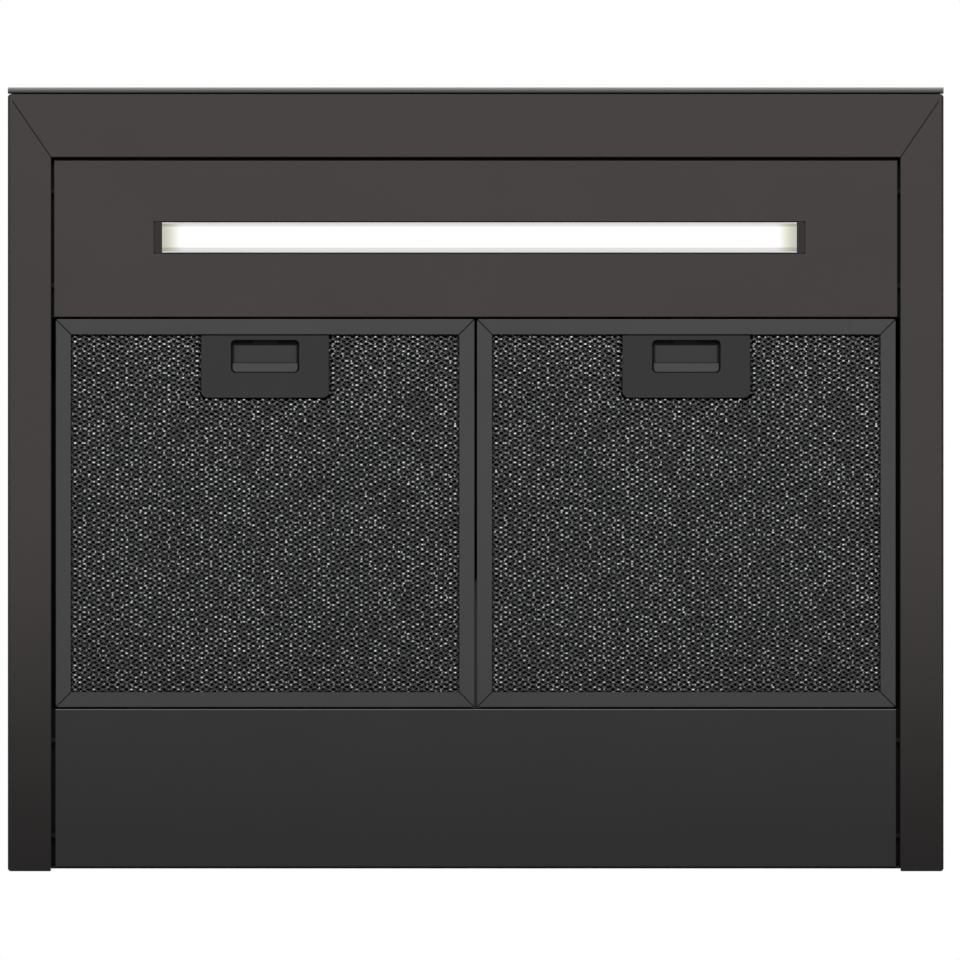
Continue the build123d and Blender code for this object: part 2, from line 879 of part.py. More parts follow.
with BuildPart() as tower_back:
    block((-tower_half, tower_half), (-sheet, 0), (top_z, tower_top_z - sheet))
    block((-tower_half + sheet, tower_half - sheet), (-tower_flange, -sheet), (top_z, top_z + sheet))
save(tower_back, "tower_back")

with BuildPart() as tower_top:
    block((-tower_half, tower_half), (tower_front_y, 0), (tower_top_z - sheet, tower_top_z))
    top_range = (tower_top_z - 2 * sheet, tower_top_z + sheet)
    rod_z(outlet_radius - collar_wall, top_range, 0, outlet_y, Mode.SUBTRACT)
    rod_z(gland_thread_radius + seat_gap, top_range, gland_x, -gland_from_back, Mode.SUBTRACT)
    for x, y in scroll_screw_places:
        rod_z(screw_radius + hole_clearance, top_range, x, y, Mode.SUBTRACT)
save(tower_top, "tower_top")


# Scroll halves: a three-centre spiral with a sloped tongue and an upward outlet
def scroll_outline(inset, overrun):
    """The scroll's outline drawn in by a wall, its outlet carried past the top by an overrun."""
    rise = scroll_top_z - axis_z + overrun
    radius = scroll_radius - inset
    tip_angle = radians(tongue_angle)
    tip = Vector(scroll_radius * cos(tip_angle), scroll_radius * sin(tip_angle))
    slope = (Vector(outlet_rear, scroll_top_z - axis_z) - tip).normalized()
    top = tip + slope * ((rise - tip.Y) / slope.Y) - Vector(inset / slope.Y, 0)
    along = top.dot(slope)
    tongue_point = top - slope * (along - sqrt(along**2 - (top.dot(top) - radius**2)))
    start = degrees(atan2(tongue_point.Y, tongue_point.X))
    with BuildLine() as outline:
        CenterArc((0, 0), radius, start, -start)
        CenterArc((-scroll_step, 0), radius + scroll_step, 0, -90)
        front = CenterArc((-scroll_step, scroll_step), radius + 2 * scroll_step, -90, -90)
        Polyline(front @ 1, (-scroll_front + inset, rise), top, tongue_point)
    return outline.line


blower_plane = Plane(origin=(0, axis_y, axis_z), x_dir=(0, 1, 0), z_dir=(1, 0, 0))
inner_face_x = scroll_half_width - scroll_wall


def build_scroll_half(side, name):
    """One half of the scroll, on the left (-1) or the right (1) of the middle plane."""
    with BuildPart() as half:
        with BuildSketch(blower_plane):
            add(scroll_outline(0, 0))
            make_face()
        extrude(amount=side * scroll_half_width)
        with BuildSketch(blower_plane):
            add(scroll_outline(scroll_wall, cut_margin))
            make_face()
        extrude(amount=side * inner_face_x, mode=Mode.SUBTRACT)
        flange_x = sorted((side * scroll_half_width, side * (scroll_half_width + scroll_flange)))
        flange_z = (scroll_top_z - scroll_flange_thickness, scroll_top_z)
        block(flange_x, (scroll_flange_front_y, scroll_flange_rear_y), flange_z)
        wide_x = sorted((0, side * (scroll_half_width + scroll_flange)))
        block(wide_x, (scroll_flange_front_y, axis_y - scroll_front + scroll_wall), flange_z)
        block(wide_x, (axis_y + outlet_rear - scroll_wall, scroll_flange_rear_y), flange_z)
        rod_x(
            inlet_radius,
            sorted((side * (inner_face_x - cut_margin), side * (scroll_half_width + cut_margin))),
            axis_y,
            axis_z,
            Mode.SUBTRACT,
        )
        hole_z = (flange_z[0] - cut_margin, flange_z[1] + cut_margin)
        for x, y in scroll_screw_places:
            if x * side > 0:
                rod_z(screw_radius + running_clearance, hole_z, x, y, Mode.SUBTRACT)
        if side > 0:
            for y, z in bracket_screw_places:
                hole_x = (inner_face_x - cut_margin, scroll_half_width + cut_margin)
                rod_x(screw_radius + running_clearance, hole_x, y, z, Mode.SUBTRACT)
    save(half, name)


bracket_angles = (90.0, 210.0, 330.0)
bracket_screw_places = [
    (
        axis_y + bracket_screw_radius * cos(radians(angle)),
        axis_z + bracket_screw_radius * sin(radians(angle)),
    )
    for angle in bracket_angles
]
build_scroll_half(-1, "volute_left")
build_scroll_half(1, "volute_right")

with BuildPart() as volute_screws:
    for x, y in scroll_screw_places:
        screw_down(x, y, tower_top_z, scroll_screw_length)
    head_x = scroll_half_width + bracket_thickness
    for y, z in bracket_screw_places:
        rod_x(screw_head_radius, (head_x, head_x + screw_head_height), y, z)
        rod_x(screw_radius, (head_x - screw_length, head_x), y, z)
save(volute_screws, "volute_screws")


# Motor bracket: a disc with three arms across the right inlet
with BuildPart() as motor_bracket:
    with BuildSketch(blower_plane.offset(scroll_half_width)):
        Circle(bracket_disc_radius)
        for angle in bracket_angles:
            with Locations(Location((0, 0, 0), (0, 0, angle))):
                with Locations((bracket_reach / 2, 0)):
                    Rectangle(bracket_reach, bracket_arm_width)
        vent_ring = bracket_disc_radius - bracket_vent_inset
        with PolarLocations(vent_ring, bracket_vent_count, start_angle=180 / bracket_vent_count):
            Circle(bracket_vent_radius, mode=Mode.SUBTRACT)
    extrude(amount=bracket_thickness)
    for y, z in bracket_screw_places:
        rod_x(
            screw_radius + hole_clearance,
            (scroll_half_width - cut_margin, scroll_half_width + bracket_thickness + cut_margin),
            y,
            z,
            Mode.SUBTRACT,
        )
save(motor_bracket, "motor_bracket")


# Finger guards over the inlets
def build_guard(inner_x, name):
    """A ringed guard with spokes, lying between inner_x and its outer face."""
    guard_plane = blower_plane.offset(inner_x)
    ring_pitch = (guard_outer_radius - guard_hub_radius) / guard_ring_count
    spoke_reach = (guard_hub_radius / 2, guard_outer_radius - guard_ring_width / 2)
    with BuildPart() as guard:
        with BuildSketch(guard_plane):
            Circle(guard_hub_radius)
            for ring in range(1, guard_ring_count + 1):
                radius = guard_hub_radius + ring * ring_pitch
                with BuildSketch(mode=Mode.PRIVATE) as ring_sketch:
                    Circle(radius)
                    Circle(radius - guard_ring_width, mode=Mode.SUBTRACT)
                add(ring_sketch.sketch)
            with PolarLocations(sum(spoke_reach) / 2, guard_spokes, start_angle=180 / guard_spokes):
                Rectangle(spoke_reach[1] - spoke_reach[0], guard_spoke_width)
        extrude(amount=guard_thickness)
    save(guard, name)


build_guard(-scroll_half_width - guard_thickness, "inlet_guard_left")
build_guard(scroll_half_width + bracket_thickness, "inlet_guard_right")

# Motor, inside the impeller's right half
motor_rear_x = scroll_half_width
can_front_x = motor_front + motor_wall
bearing_places = (can_front_x, motor_rear_x - motor_wall - bearing_width)
with BuildPart() as motor_can:
    rod_x(motor_radius, (can_front_x, motor_rear_x), axis_y, axis_z)
    fillet(motor_can.edges().group_by(Axis.X)[-1], motor_corner_radius)
    bore = motor_radius - motor_wall
    bore_x = (can_front_x - cut_margin, motor_rear_x - motor_wall)
    rod_x(bore, bore_x, axis_y, axis_z, Mode.SUBTRACT)
    seat_x = (bearing_places[1], motor_rear_x - motor_wall / 2)
    rod_x(bearing_radius + bearing_seat_wall, seat_x, axis_y, axis_z)
    rod_x(
        bearing_radius + running_clearance,
        (bearing_places[1] - cut_margin, motor_rear_x - motor_wall),
        axis_y,
        axis_z,
        Mode.SUBTRACT,
    )
save(motor_can, "motor_can")

with BuildPart() as motor_end_plate:
    rod_x(motor_radius, (motor_front, can_front_x), axis_y, axis_z)
    seat_x = (can_front_x, can_front_x + bearing_width)
    rod_x(bearing_radius + bearing_seat_wall, seat_x, axis_y, axis_z)
    seat_bore_x = (seat_x[0], seat_x[1] + cut_margin)
    rod_x(bearing_radius + running_clearance, seat_bore_x, axis_y, axis_z, Mode.SUBTRACT)
    shaft_hole_x = (motor_front - cut_margin, can_front_x + cut_margin)
    rod_x(shaft_radius + shaft_hole_gap, shaft_hole_x, axis_y, axis_z, Mode.SUBTRACT)
save(motor_end_plate, "motor_end_plate")

with BuildPart() as motor_bearings:
    for x in bearing_places:
        rod_x(bearing_radius, (x, x + bearing_width), axis_y, axis_z)
    bore_range = (bearing_places[0] - cut_margin, bearing_places[1] + bearing_width + cut_margin)
    rod_x(shaft_radius + running_clearance, bore_range, axis_y, axis_z, Mode.SUBTRACT)
save(motor_bearings, "motor_bearings")

stator_middle_x = (can_front_x + motor_rear_x) / 2
stator_x = around(stator_middle_x, stator_length / 2)
with BuildPart() as motor_stator:
    rod_x(motor_radius - motor_wall - running_clearance, stator_x, axis_y, axis_z)
    rod_x(stator_radius, around(stator_middle_x, stator_length), axis_y, axis_z, Mode.SUBTRACT)
save(motor_stator, "motor_stator")

shaft_x = (-hub_left - shaft_overhang, motor_rear_x - motor_wall - shaft_end_gap)
with BuildPart() as motor_shaft:
    rod_x(shaft_radius, shaft_x, axis_y, axis_z)
    chamfer(motor_shaft.edges().filter_by(GeomType.CIRCLE), shaft_chamfer)
save(motor_shaft, "motor_shaft")

with BuildPart() as motor_rotor:
    rotor_x = around(stator_middle_x, stator_length / 2 - rotor_end_gap)
    rod_x(stator_radius - air_gap, rotor_x, axis_y, axis_z)
    rod_x(shaft_radius + running_clearance, around(stator_middle_x, stator_length), axis_y,
          axis_z, Mode.SUBTRACT)
save(motor_rotor, "motor_rotor")

# Double-inlet impeller: a middle disc with its hub, and a ring at each end
with BuildPart() as impeller_rings:
    rod_x(impeller_radius, around(0, disc_half_thickness), axis_y, axis_z)
    rod_x(hub_radius, (-hub_left, hub_right), axis_y, axis_z)
    hub_bore_x = (-hub_left - cut_margin, hub_right + cut_margin)
    rod_x(shaft_radius + running_clearance, hub_bore_x, axis_y, axis_z, Mode.SUBTRACT)
    ring_bore = impeller_radius - blade_depth - ring_thickness / 2
    ring_inner_x = impeller_half_width - ring_thickness
    for side in (-1, 1):
        ring_x = sorted((side * ring_inner_x, side * impeller_half_width))
        rod_x(impeller_radius, ring_x, axis_y, axis_z)
        hollow_x = (ring_x[0] - cut_margin, ring_x[1] + cut_margin)
        rod_x(ring_bore, hollow_x, axis_y, axis_z, Mode.SUBTRACT)
save(impeller_rings, "impeller_rings")


def blade_corners():
    """A blade's section: its back an arc in a few straight steps, its inner face flat."""
    turns = [
        radians(blade_arc_start + blade_arc_sweep * step / blade_steps) for step in range(blade_steps + 1)
    ]
    back = blade_arc_radius + blade_thickness / 2
    face = blade_arc_radius - blade_thickness / 2
    corners = [(back * cos(turn), back * sin(turn) - blade_depth) for turn in turns]
    corners += [(face * cos(turn), face * sin(turn) - blade_depth) for turn in (turns[-1], turns[0])]
    return corners


# Blades between the disc and the rings
with BuildPart() as impeller_blades:
    blade_middle = impeller_radius - blade_depth / 2 - blade_from_rim
    for side in (-1, 1):
        with BuildSketch(blower_plane.offset(side * disc_half_thickness)):
            with PolarLocations(blade_middle, blade_count):
                Polygon(*blade_corners(), align=None)
        extrude(amount=side * (ring_inner_x - disc_half_thickness))
save(impeller_blades, "impeller_blades")


# Capacitor in its clip on the tower's left wall
capacitor_x = -tower_half + sheet + clip_wall + capacitor_radius
capacitor_y = -capacitor_from_back
capacitor_low_z = top_z + capacitor_above_canopy
with BuildPart() as run_capacitor:
    capacitor_z = (capacitor_low_z, capacitor_low_z + capacitor_length)
    rod_z(capacitor_radius, capacitor_z, capacitor_x, capacitor_y)
    fillet(run_capacitor.edges().filter_by(GeomType.CIRCLE), capacitor_corner_radius)
    for shift in (-terminal_spacing / 2, terminal_spacing / 2):
        block(
            around(capacitor_x, terminal_width / 2),
            around(capacitor_y + shift, terminal_thickness / 2),
            (capacitor_z[1] - cut_margin, capacitor_z[1] + terminal_height),
        )
save(run_capacitor, "run_capacitor")

with BuildPart() as capacitor_clip:
    clip_z = around(capacitor_low_z + capacitor_length / 2, clip_height / 2)
    rod_z(capacitor_radius + clip_wall, clip_z, capacitor_x, capacitor_y)
    block(
        (-tower_half + sheet, -tower_half + sheet + clip_wall),
        around(capacitor_y, clip_pad_width / 2),
        clip_z,
    )
    rod_z(
        capacitor_radius + running_clearance,
        (clip_z[0] - cut_margin, clip_z[1] + cut_margin),
        capacitor_x,
        capacitor_y,
        Mode.SUBTRACT,
    )
save(capacitor_clip, "capacitor_clip")


# Outlet collar with the flaps' seat, crossbar and pin holes
outlet_bore = outlet_radius - collar_wall
with BuildPart() as collar_gasket:
    rod_z(collar_flange_radius, (tower_top_z, collar_z), 0, outlet_y)
    bore_z = (tower_top_z - cut_margin, collar_z + cut_margin)
    rod_z(outlet_bore, bore_z, 0, outlet_y, Mode.SUBTRACT)
save(collar_gasket, "collar_gasket")

with BuildPart() as outlet_collar:
    rod_z(outlet_radius, (collar_z, collar_z + collar_height), 0, outlet_y)
    rod_z(
        collar_flange_radius, (collar_z, collar_z + collar_flange_thickness), 0, outlet_y
    )
    bore_z = (collar_z - cut_margin, collar_z + collar_height + cut_margin)
    rod_z(outlet_bore, bore_z, 0, outlet_y, Mode.SUBTRACT)
    with BuildSketch(Plane.XY.offset(flap_z - seat_gap - flap_lip_thickness)):
        with Locations((0, outlet_y)):
            Circle(outlet_bore + collar_wall / 2)
            Circle(flap_lip_radius, mode=Mode.SUBTRACT)
            Rectangle(2 * outlet_bore, crossbar_width)
    extrude(amount=flap_lip_thickness)
    block(
        around(0, outlet_bore + collar_wall / 2),
        around(outlet_y, crossbar_width / 2),
        (flap_z - seat_gap - flap_lip_thickness, flap_z - seat_gap - flap_lip_thickness
         + crossbar_height),
    )
    for side in (-1, 1):
        rod_x(
            flap_pin_radius + running_clearance,
            (-flap_pin_hole_reach, flap_pin_hole_reach),
            outlet_y + side * flap_axis_offset,
            flap_axis_z,
            Mode.SUBTRACT,
        )
save(outlet_collar, "outlet_collar")


def build_flap(side, name):
    """A half-round flap that lies on the seat, hinged on pins beside the crossbar."""
    pivot_y = outlet_y + side * flap_axis_offset
    with BuildPart() as flap:
        with BuildSketch(Plane.XY.offset(flap_z)):
            with Locations((0, outlet_y)):
                Circle(flap_radius)
            with Locations((0, pivot_y - side * flap_radius)):
                Rectangle(3 * flap_radius, 2 * flap_radius, mode=Mode.SUBTRACT)
        extrude(amount=flap_thickness)
        rod_x(knuckle_radius, around(0, knuckle_half_length), pivot_y, flap_axis_z)
        rod_x(flap_pin_radius, around(0, flap_pin_reach), pivot_y, flap_axis_z)
    save(flap, name)


build_flap(-1, "flap_front")
build_flap(1, "flap_rear")

# Cable gland with its nut, in the tower's top
with BuildPart() as mains_gland:
    gland_y = -gland_from_back
    rod_z(gland_radius, (tower_top_z, tower_top_z + gland_rise), gland_x, gland_y)
    fillet(mains_gland.edges().group_by(Axis.Z)[-1], gland_crown_radius)
    nut_top = tower_top_z - sheet
    thread_low = nut_top - gland_nut_height - gland_thread_past_nut
    rod_z(gland_thread_radius, (thread_low, tower_top_z), gland_x, gland_y)
    with BuildSketch(Plane.XY.offset(nut_top - gland_nut_height)):
        with Locations((gland_x, gland_y)):
            RegularPolygon(gland_nut_radius, 6)
    extrude(amount=gland_nut_height)
    rod_z(
        gland_bore_radius,
        (thread_low - cut_margin, tower_top_z + gland_rise + cut_margin),
        gland_x,
        gland_y,
        Mode.SUBTRACT,
    )
save(mains_gland, "mains_gland")


# Chimney covers, open at the back
def chimney_wrap(half, front, rear, rear_flange, z_range):
    """A rounded sheet wrap with two inturned flanges at the back."""
    with BuildSketch(Plane.XY.offset(z_range[0])) as wrap:
        with Locations((0, (front + rear) / 2)):
            RectangleRounded(2 * half, rear - front, chimney_corner_radius)
            RectangleRounded(
                2 * (half - sheet), rear - front - 2 * sheet, chimney_corner_radius - sheet,
                mode=Mode.SUBTRACT,
            )
        with Locations((0, rear - sheet / 2)):
            Rectangle(2 * (half - rear_flange), 2 * sheet, mode=Mode.SUBTRACT)
    extrude(wrap.sketch, amount=z_range[1] - z_range[0])


with BuildPart() as chimney_lower:
    chimney_wrap(
        chimney_width / 2, chimney_front_y, wall_y, lower_rear_flange,
        (top_z, top_z + lower_height),
    )
    for x, y in chimney_screw_places:
        block(
            around(x, chimney_tab_width / 2),
            (chimney_front_y, chimney_tab_y + chimney_tab_depth),
            (top_z, top_z + sheet),
        )
    for x, y in chimney_screw_places:
        hole_range = (top_z - sheet, top_z + 2 * sheet)
        rod_z(screw_radius + hole_clearance, hole_range, x, y, Mode.SUBTRACT)
save(chimney_lower, "chimney_lower")

bracket_top_z = upper_top_z - bracket_below_top
bracket_hole_z = bracket_top_z - bracket_height / 2
bracket_screw_y = upper_rear_y - bracket_step - bracket_ear / 2
vent_low_z = upper_top_z - vent_below_top
with BuildPart() as chimney_upper:
    chimney_wrap(
        upper_half, upper_front_y, upper_rear_y, upper_rear_flange,
        (upper_bottom_z, upper_top_z),
    )
    vent_y = (upper_front_y + upper_rear_y) / 2
    with Locations(Plane(origin=(0, vent_y, vent_low_z), x_dir=(0, 1, 0), z_dir=(1, 0, 0))):
        with GridLocations(vent_column_pitch, vent_pitch, vent_columns, vent_count):
            Box(vent_length, vent_height, 4 * upper_half, mode=Mode.SUBTRACT)
    rod_x(screw_radius + hole_clearance, around(0, upper_half + cut_margin), bracket_screw_y,
          bracket_hole_z, Mode.SUBTRACT)
save(chimney_upper, "chimney_upper")

# Wall bracket at the top of the upper chimney, bent round its rear flanges
with BuildPart() as chimney_bracket:
    bracket_z = (bracket_top_z - bracket_height, bracket_top_z)
    block((-bracket_half_width, bracket_half_width), (wall_y - bracket_strip, wall_y), bracket_z)
    for side in (-1, 1):
        ear_x = upper_half - sheet
        step_y = upper_rear_y - bracket_step
        block(
            sorted((side * (bracket_half_width - bracket_strip), side * bracket_half_width)),
            (step_y - bracket_strip, wall_y),
            bracket_z,
        )
        block(
            sorted((side * (bracket_half_width - bracket_strip), side * ear_x)),
            (step_y - bracket_strip, step_y),
            bracket_z,
        )
        block(
            sorted((side * (ear_x - bracket_strip), side * ear_x)),
            (step_y - bracket_ear, step_y),
            bracket_z,
        )
        rod_y(
            bracket_hole_radius,
            (wall_y - 2 * bracket_strip, wall_y + bracket_strip),
            side * bracket_hole_spacing / 2,
            bracket_hole_z,
            Mode.SUBTRACT,
        )
    rod_x(screw_radius + running_clearance, around(0, upper_half + cut_margin), bracket_screw_y,
          bracket_hole_z, Mode.SUBTRACT)
save(chimney_bracket, "chimney_bracket")

with BuildPart() as chimney_screws:
    for side in (-1, 1):
        head = sorted((side * upper_half, side * (upper_half + screw_head_height)))
        shank = sorted((side * (upper_half - screw_length), side * upper_half))
        rod_x(chimney_screw_head_radius, head, bracket_screw_y, bracket_hole_z)
        rod_x(screw_radius, shank, bracket_screw_y, bracket_hole_z)
save(chimney_screws, "chimney_screws")


# Grease filters with their latches, the same on the left and on the right

def filter_rectangle(inset_by):
    """Plan ranges of one filter, drawn in on all sides, around x = 0."""
    return (
        around(0, filter_width / 2 - inset_by),
        (filter_front_y + inset_by, filter_rear_y - inset_by),
    )


def shifted(x_range, centre_x):
    """A range moved sideways to a filter's centre."""
    return (x_range[0] + centre_x, x_range[1] + centre_x)


def build_filter_frame(centre_x, side_name):
    """A channel frame, mitred at its corners, with slots for the bolt and the tabs."""
    outer_x, outer_y = filter_rectangle(0)
    cavity_x, cavity_y = filter_rectangle(frame_wall)
    open_x, open_y = filter_rectangle(filter_border)
    back_x, back_y = filter_rectangle(filter_top_border)
    frame_top = face_z + filter_height
    with BuildPart() as frame:
        plate(shifted(outer_x, centre_x), outer_y, (face_z, frame_top), filter_corner_radius)
        fillet(frame.edges().group_by(Axis.Z)[0], bend_radius)
        block(shifted(cavity_x, centre_x), cavity_y,
              (face_z + frame_wall, frame_top - frame_wall), mode=Mode.SUBTRACT)
        block(shifted(open_x, centre_x), open_y,
              (face_z - cut_margin, face_z + filter_height / 2), mode=Mode.SUBTRACT)
        block(shifted(back_x, centre_x), back_y,
              (face_z + filter_height / 2, frame_top + cut_margin), mode=Mode.SUBTRACT)
        for x_end, inner_end in zip(outer_x, open_x):
            for y_end, inner_y in zip(outer_y, open_y):
                mitre_groove(
                    (inner_end + centre_x, inner_y),
                    (x_end + centre_x, y_end),
                    (face_z - cut_margin, face_z + mitre_depth),
                )
        bolt_z = face_z + pocket_floor
        block(
            around(centre_x, bolt_channel_width / 2),
            (filter_front_y - cut_margin, filter_front_y + frame_wall + cut_margin),
            (bolt_z, face_z + latch_face_to_cover),
            mode=Mode.SUBTRACT,
        )
        for shift in (-tab_spacing / 2, tab_spacing / 2):
            block(
                around(centre_x + shift, tab_width / 2 + running_clearance),
                (filter_rear_y - frame_wall - cut_margin, filter_rear_y + cut_margin),
                (tab_z, tab_z + frame_wall),
                mode=Mode.SUBTRACT,
            )
    save(frame, f"filter_frame_{side_name}")


def build_filter_mesh(centre_x, side_name):
    """The pressed pack: a pan held by its rim inside the frame, notched round the latch."""
    pack_x, pack_y = filter_rectangle(frame_wall + seat_gap)
    bowl_x, bowl_y = filter_rectangle(frame_wall + seat_gap + mesh_rim_width)
    low = face_z + frame_wall
    notch_half = latch_width / 2 + seat_gap
    notch_rear = filter_front_y + filter_border + latch_front_gap + latch_depth + seat_gap
    with BuildPart() as mesh:
        block(shifted(pack_x, centre_x), pack_y, (low, low + mesh_rim_height))
        high = low + mesh_rim_height + cut_margin
        block(shifted(bowl_x, centre_x), bowl_y, (low + mesh_sheet, high), mode=Mode.SUBTRACT)
        block(around(centre_x, notch_half), (filter_front_y, notch_rear),
              (low - cut_margin, high), mode=Mode.SUBTRACT)
    save(mesh, f"filter_mesh_{side_name}")


def build_filter_tabs(centre_x, side_name):
    """Two flat tabs held under the frame's top fold, reaching into the rear panel's slots."""
    with BuildPart() as tabs:
        for shift in (-tab_spacing / 2, tab_spacing / 2):
            plate(
                around(centre_x + shift, tab_width / 2),
                (filter_rear_y - tab_hold, filter_rear_y + tab_length),
                (tab_z, tab_z + frame_wall),
            )
        rear_edges = tabs.edges().filter_by(Axis.Z).group_by(Axis.Y)[-1]
        fillet(rear_edges, tab_corner_radius)
    save(tabs, f"filter_tabs_{side_name}")


def build_latch(centre_x, side_name):
    """Housing, cover, slider and spring of one latch."""
    front = filter_front_y + filter_border + latch_front_gap
    housing_rear = front + latch_depth
    cover_z = face_z + latch_face_to_cover
    floor_z = face_z + pocket_floor
    channel_front = filter_front_y + recess_from_front
    recess_y = (channel_front, channel_front + recess_depth)
    with BuildPart() as housing:
        plate(
            around(centre_x, latch_width / 2), (front, housing_rear),
            (face_z - latch_proud, cover_z),
        )
        fillet(
            housing.edges().filter_by(Axis.Z).group_by(Axis.Y)[-1], latch_corner_radius
        )
        fillet(housing.edges().group_by(Axis.Z)[0], latch_proud)
        block(
            around(centre_x, latch_tongue_width / 2),
            (filter_front_y + frame_wall + hole_clearance, front + cut_margin),
            (face_z + frame_wall + tongue_gap, cover_z),
        )
        plate(around(centre_x, recess_width / 2), recess_y, (face_z - cut_margin, floor_z),
              recess_radius, Mode.SUBTRACT)
        block(around(centre_x, recess_width / 2),
              (recess_y[1] - recess_radius, recess_y[1] + latch_travel + ridge_end_gap),
              (face_z + latch_skin, floor_z), mode=Mode.SUBTRACT)
        block(around(centre_x, channel_width / 2),
              (channel_front, filter_front_y + channel_rear), (floor_z, cover_z + cut_margin),
              mode=Mode.SUBTRACT)
        block(around(centre_x, bolt_channel_width / 2),
              (filter_front_y, channel_front + cut_margin), (floor_z, cover_z + cut_margin),
              mode=Mode.SUBTRACT)
    save(housing, f"latch_housing_{side_name}")

    with BuildPart() as cover:
        plate(around(centre_x, latch_width / 2), (front, housing_rear),
              (cover_z, cover_z + latch_cover_thickness))
        fillet(cover.edges().filter_by(Axis.Z).group_by(Axis.Y)[-1], latch_corner_radius)
    save(cover, f"latch_cover_{side_name}")

    plate_z = (floor_z + slider_gap, cover_z - slider_gap)
    ridge_y = (filter_front_y + ridge_from_front, filter_front_y + ridge_from_front + ridge_depth)
    with BuildPart() as slider:
        block(around(centre_x, channel_width / 2 - slider_gap),
              (filter_front_y + slider_front, filter_front_y + slider_rear), plate_z)
        block(around(centre_x, bolt_width / 2),
              (filter_front_y - bolt_proud, filter_front_y + slider_front + cut_margin), plate_z)
        ridge_z = (face_z + latch_skin + slider_gap, plate_z[0])
        block(around(centre_x, ridge_width / 2), ridge_y, ridge_z)
        corner_edges = slider.edges().filter_by(Axis.Z).filter_by(
            lambda e: e.center().Z < ridge_z[1] and e.center().Y > sum(ridge_y) / 2
        )
        fillet(corner_edges, ridge_corner_radius)
        chamfer(slider.edges().group_by(Axis.Z)[0], ridge_chamfer)
    save(slider, f"latch_slider_{side_name}")

    with BuildPart() as spring:
        spring_y = (filter_front_y + slider_rear + slider_gap,
                    filter_front_y + channel_rear - slider_gap)
        spring_z = (plate_z[0] + plate_z[1]) / 2
        rod_y(spring_radius, spring_y, centre_x, spring_z)
        bore_y = (spring_y[0] - cut_margin, spring_y[1] + cut_margin)
        rod_y(spring_bore_radius, bore_y, centre_x, spring_z, Mode.SUBTRACT)
    save(spring, f"latch_spring_{side_name}")


for side, side_name in ((-1, "left"), (1, "right")):
    build_filter_frame(side * filter_centre, side_name)
    build_filter_mesh(side * filter_centre, side_name)
    build_filter_tabs(side * filter_centre, side_name)
    build_latch(side * filter_centre, side_name)
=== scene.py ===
import json
import math

import bmesh
import bpy
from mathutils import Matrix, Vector


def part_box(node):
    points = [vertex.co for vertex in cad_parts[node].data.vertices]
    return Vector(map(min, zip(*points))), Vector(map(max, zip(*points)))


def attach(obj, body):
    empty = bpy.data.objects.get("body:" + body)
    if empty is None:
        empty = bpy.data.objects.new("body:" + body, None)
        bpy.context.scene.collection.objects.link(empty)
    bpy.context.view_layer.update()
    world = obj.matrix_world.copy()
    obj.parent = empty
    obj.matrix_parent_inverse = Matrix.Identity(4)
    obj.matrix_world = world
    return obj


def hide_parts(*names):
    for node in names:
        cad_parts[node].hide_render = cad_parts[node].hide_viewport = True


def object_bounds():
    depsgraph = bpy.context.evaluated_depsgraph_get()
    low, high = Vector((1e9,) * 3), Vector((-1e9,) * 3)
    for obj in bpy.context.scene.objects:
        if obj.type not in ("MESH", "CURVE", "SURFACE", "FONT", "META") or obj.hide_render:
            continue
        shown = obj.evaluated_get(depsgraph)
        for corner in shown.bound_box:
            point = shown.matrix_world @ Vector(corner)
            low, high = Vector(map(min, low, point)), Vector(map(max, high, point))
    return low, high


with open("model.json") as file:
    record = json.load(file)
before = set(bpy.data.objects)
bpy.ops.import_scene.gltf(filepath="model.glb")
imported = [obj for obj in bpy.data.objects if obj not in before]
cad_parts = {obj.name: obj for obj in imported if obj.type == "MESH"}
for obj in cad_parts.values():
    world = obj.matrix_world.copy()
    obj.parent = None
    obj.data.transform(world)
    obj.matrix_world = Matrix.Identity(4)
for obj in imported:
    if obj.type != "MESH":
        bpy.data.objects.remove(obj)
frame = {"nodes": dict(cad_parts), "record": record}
cad_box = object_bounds()

mm = 0.001
sides = ("left", "right")
white = (1.0, 1.0, 1.0)


# Camera: straight up at the underside, the room side at the top of the picture

pixels = 960
pixel_size = 0.639 * mm
middle_pixel = (475.7, 479.3)  # where the object's middle lies in the photograph
lens = 250.0
sensor = 36.0
camera_reach = 60.0

low, high = cad_box
middle_x = (low.x + high.x) / 2
middle_y = (low.y + high.y) / 2
camera_x = middle_x + (pixels / 2 - middle_pixel[0]) * pixel_size
camera_y = middle_y + (pixels / 2 - middle_pixel[1]) * pixel_size
camera_distance = pixels * pixel_size * lens / sensor

camera_data = bpy.data.cameras.new("camera")
camera_data.lens = lens
camera_data.sensor_width = sensor
camera_data.clip_end = camera_reach
camera = bpy.data.objects.new("camera", camera_data)
camera.location = (camera_x, camera_y, low.z - camera_distance)
camera.rotation_euler = (math.pi, 0.0, 0.0)
bpy.context.scene.collection.objects.link(camera)
bpy.context.scene.camera = camera
bpy.context.scene.view_settings.view_transform = "Standard"


# Node helpers

def add(tree, kind, inputs=None, **settings):
    """A node in a tree. Inputs map a socket's name or number to a value or a node's output."""
    node = tree.nodes.new(kind)
    for name, value in settings.items():
        setattr(node, name, value)
    for name, value in (inputs or {}).items():
        socket = node.inputs[name]
        if isinstance(value, bpy.types.NodeSocket):
            tree.links.new(value, socket)
        else:
            socket.default_value = value
    return node


def math_node(tree, operation, *values, clamp=False):
    """The result of a sum on numbers or sockets."""
    inputs = dict(enumerate(values))
    return add(tree, "ShaderNodeMath", inputs, operation=operation, use_clamp=clamp).outputs[0]


def chained(tree, operation, values):
    """One operation on all values in turn."""
    result = values[0]
    for value in values[1:]:
        result = math_node(tree, operation, result, value)
    return result


def product(tree, *values):
    """All values multiplied."""
    return chained(tree, "MULTIPLY", values)


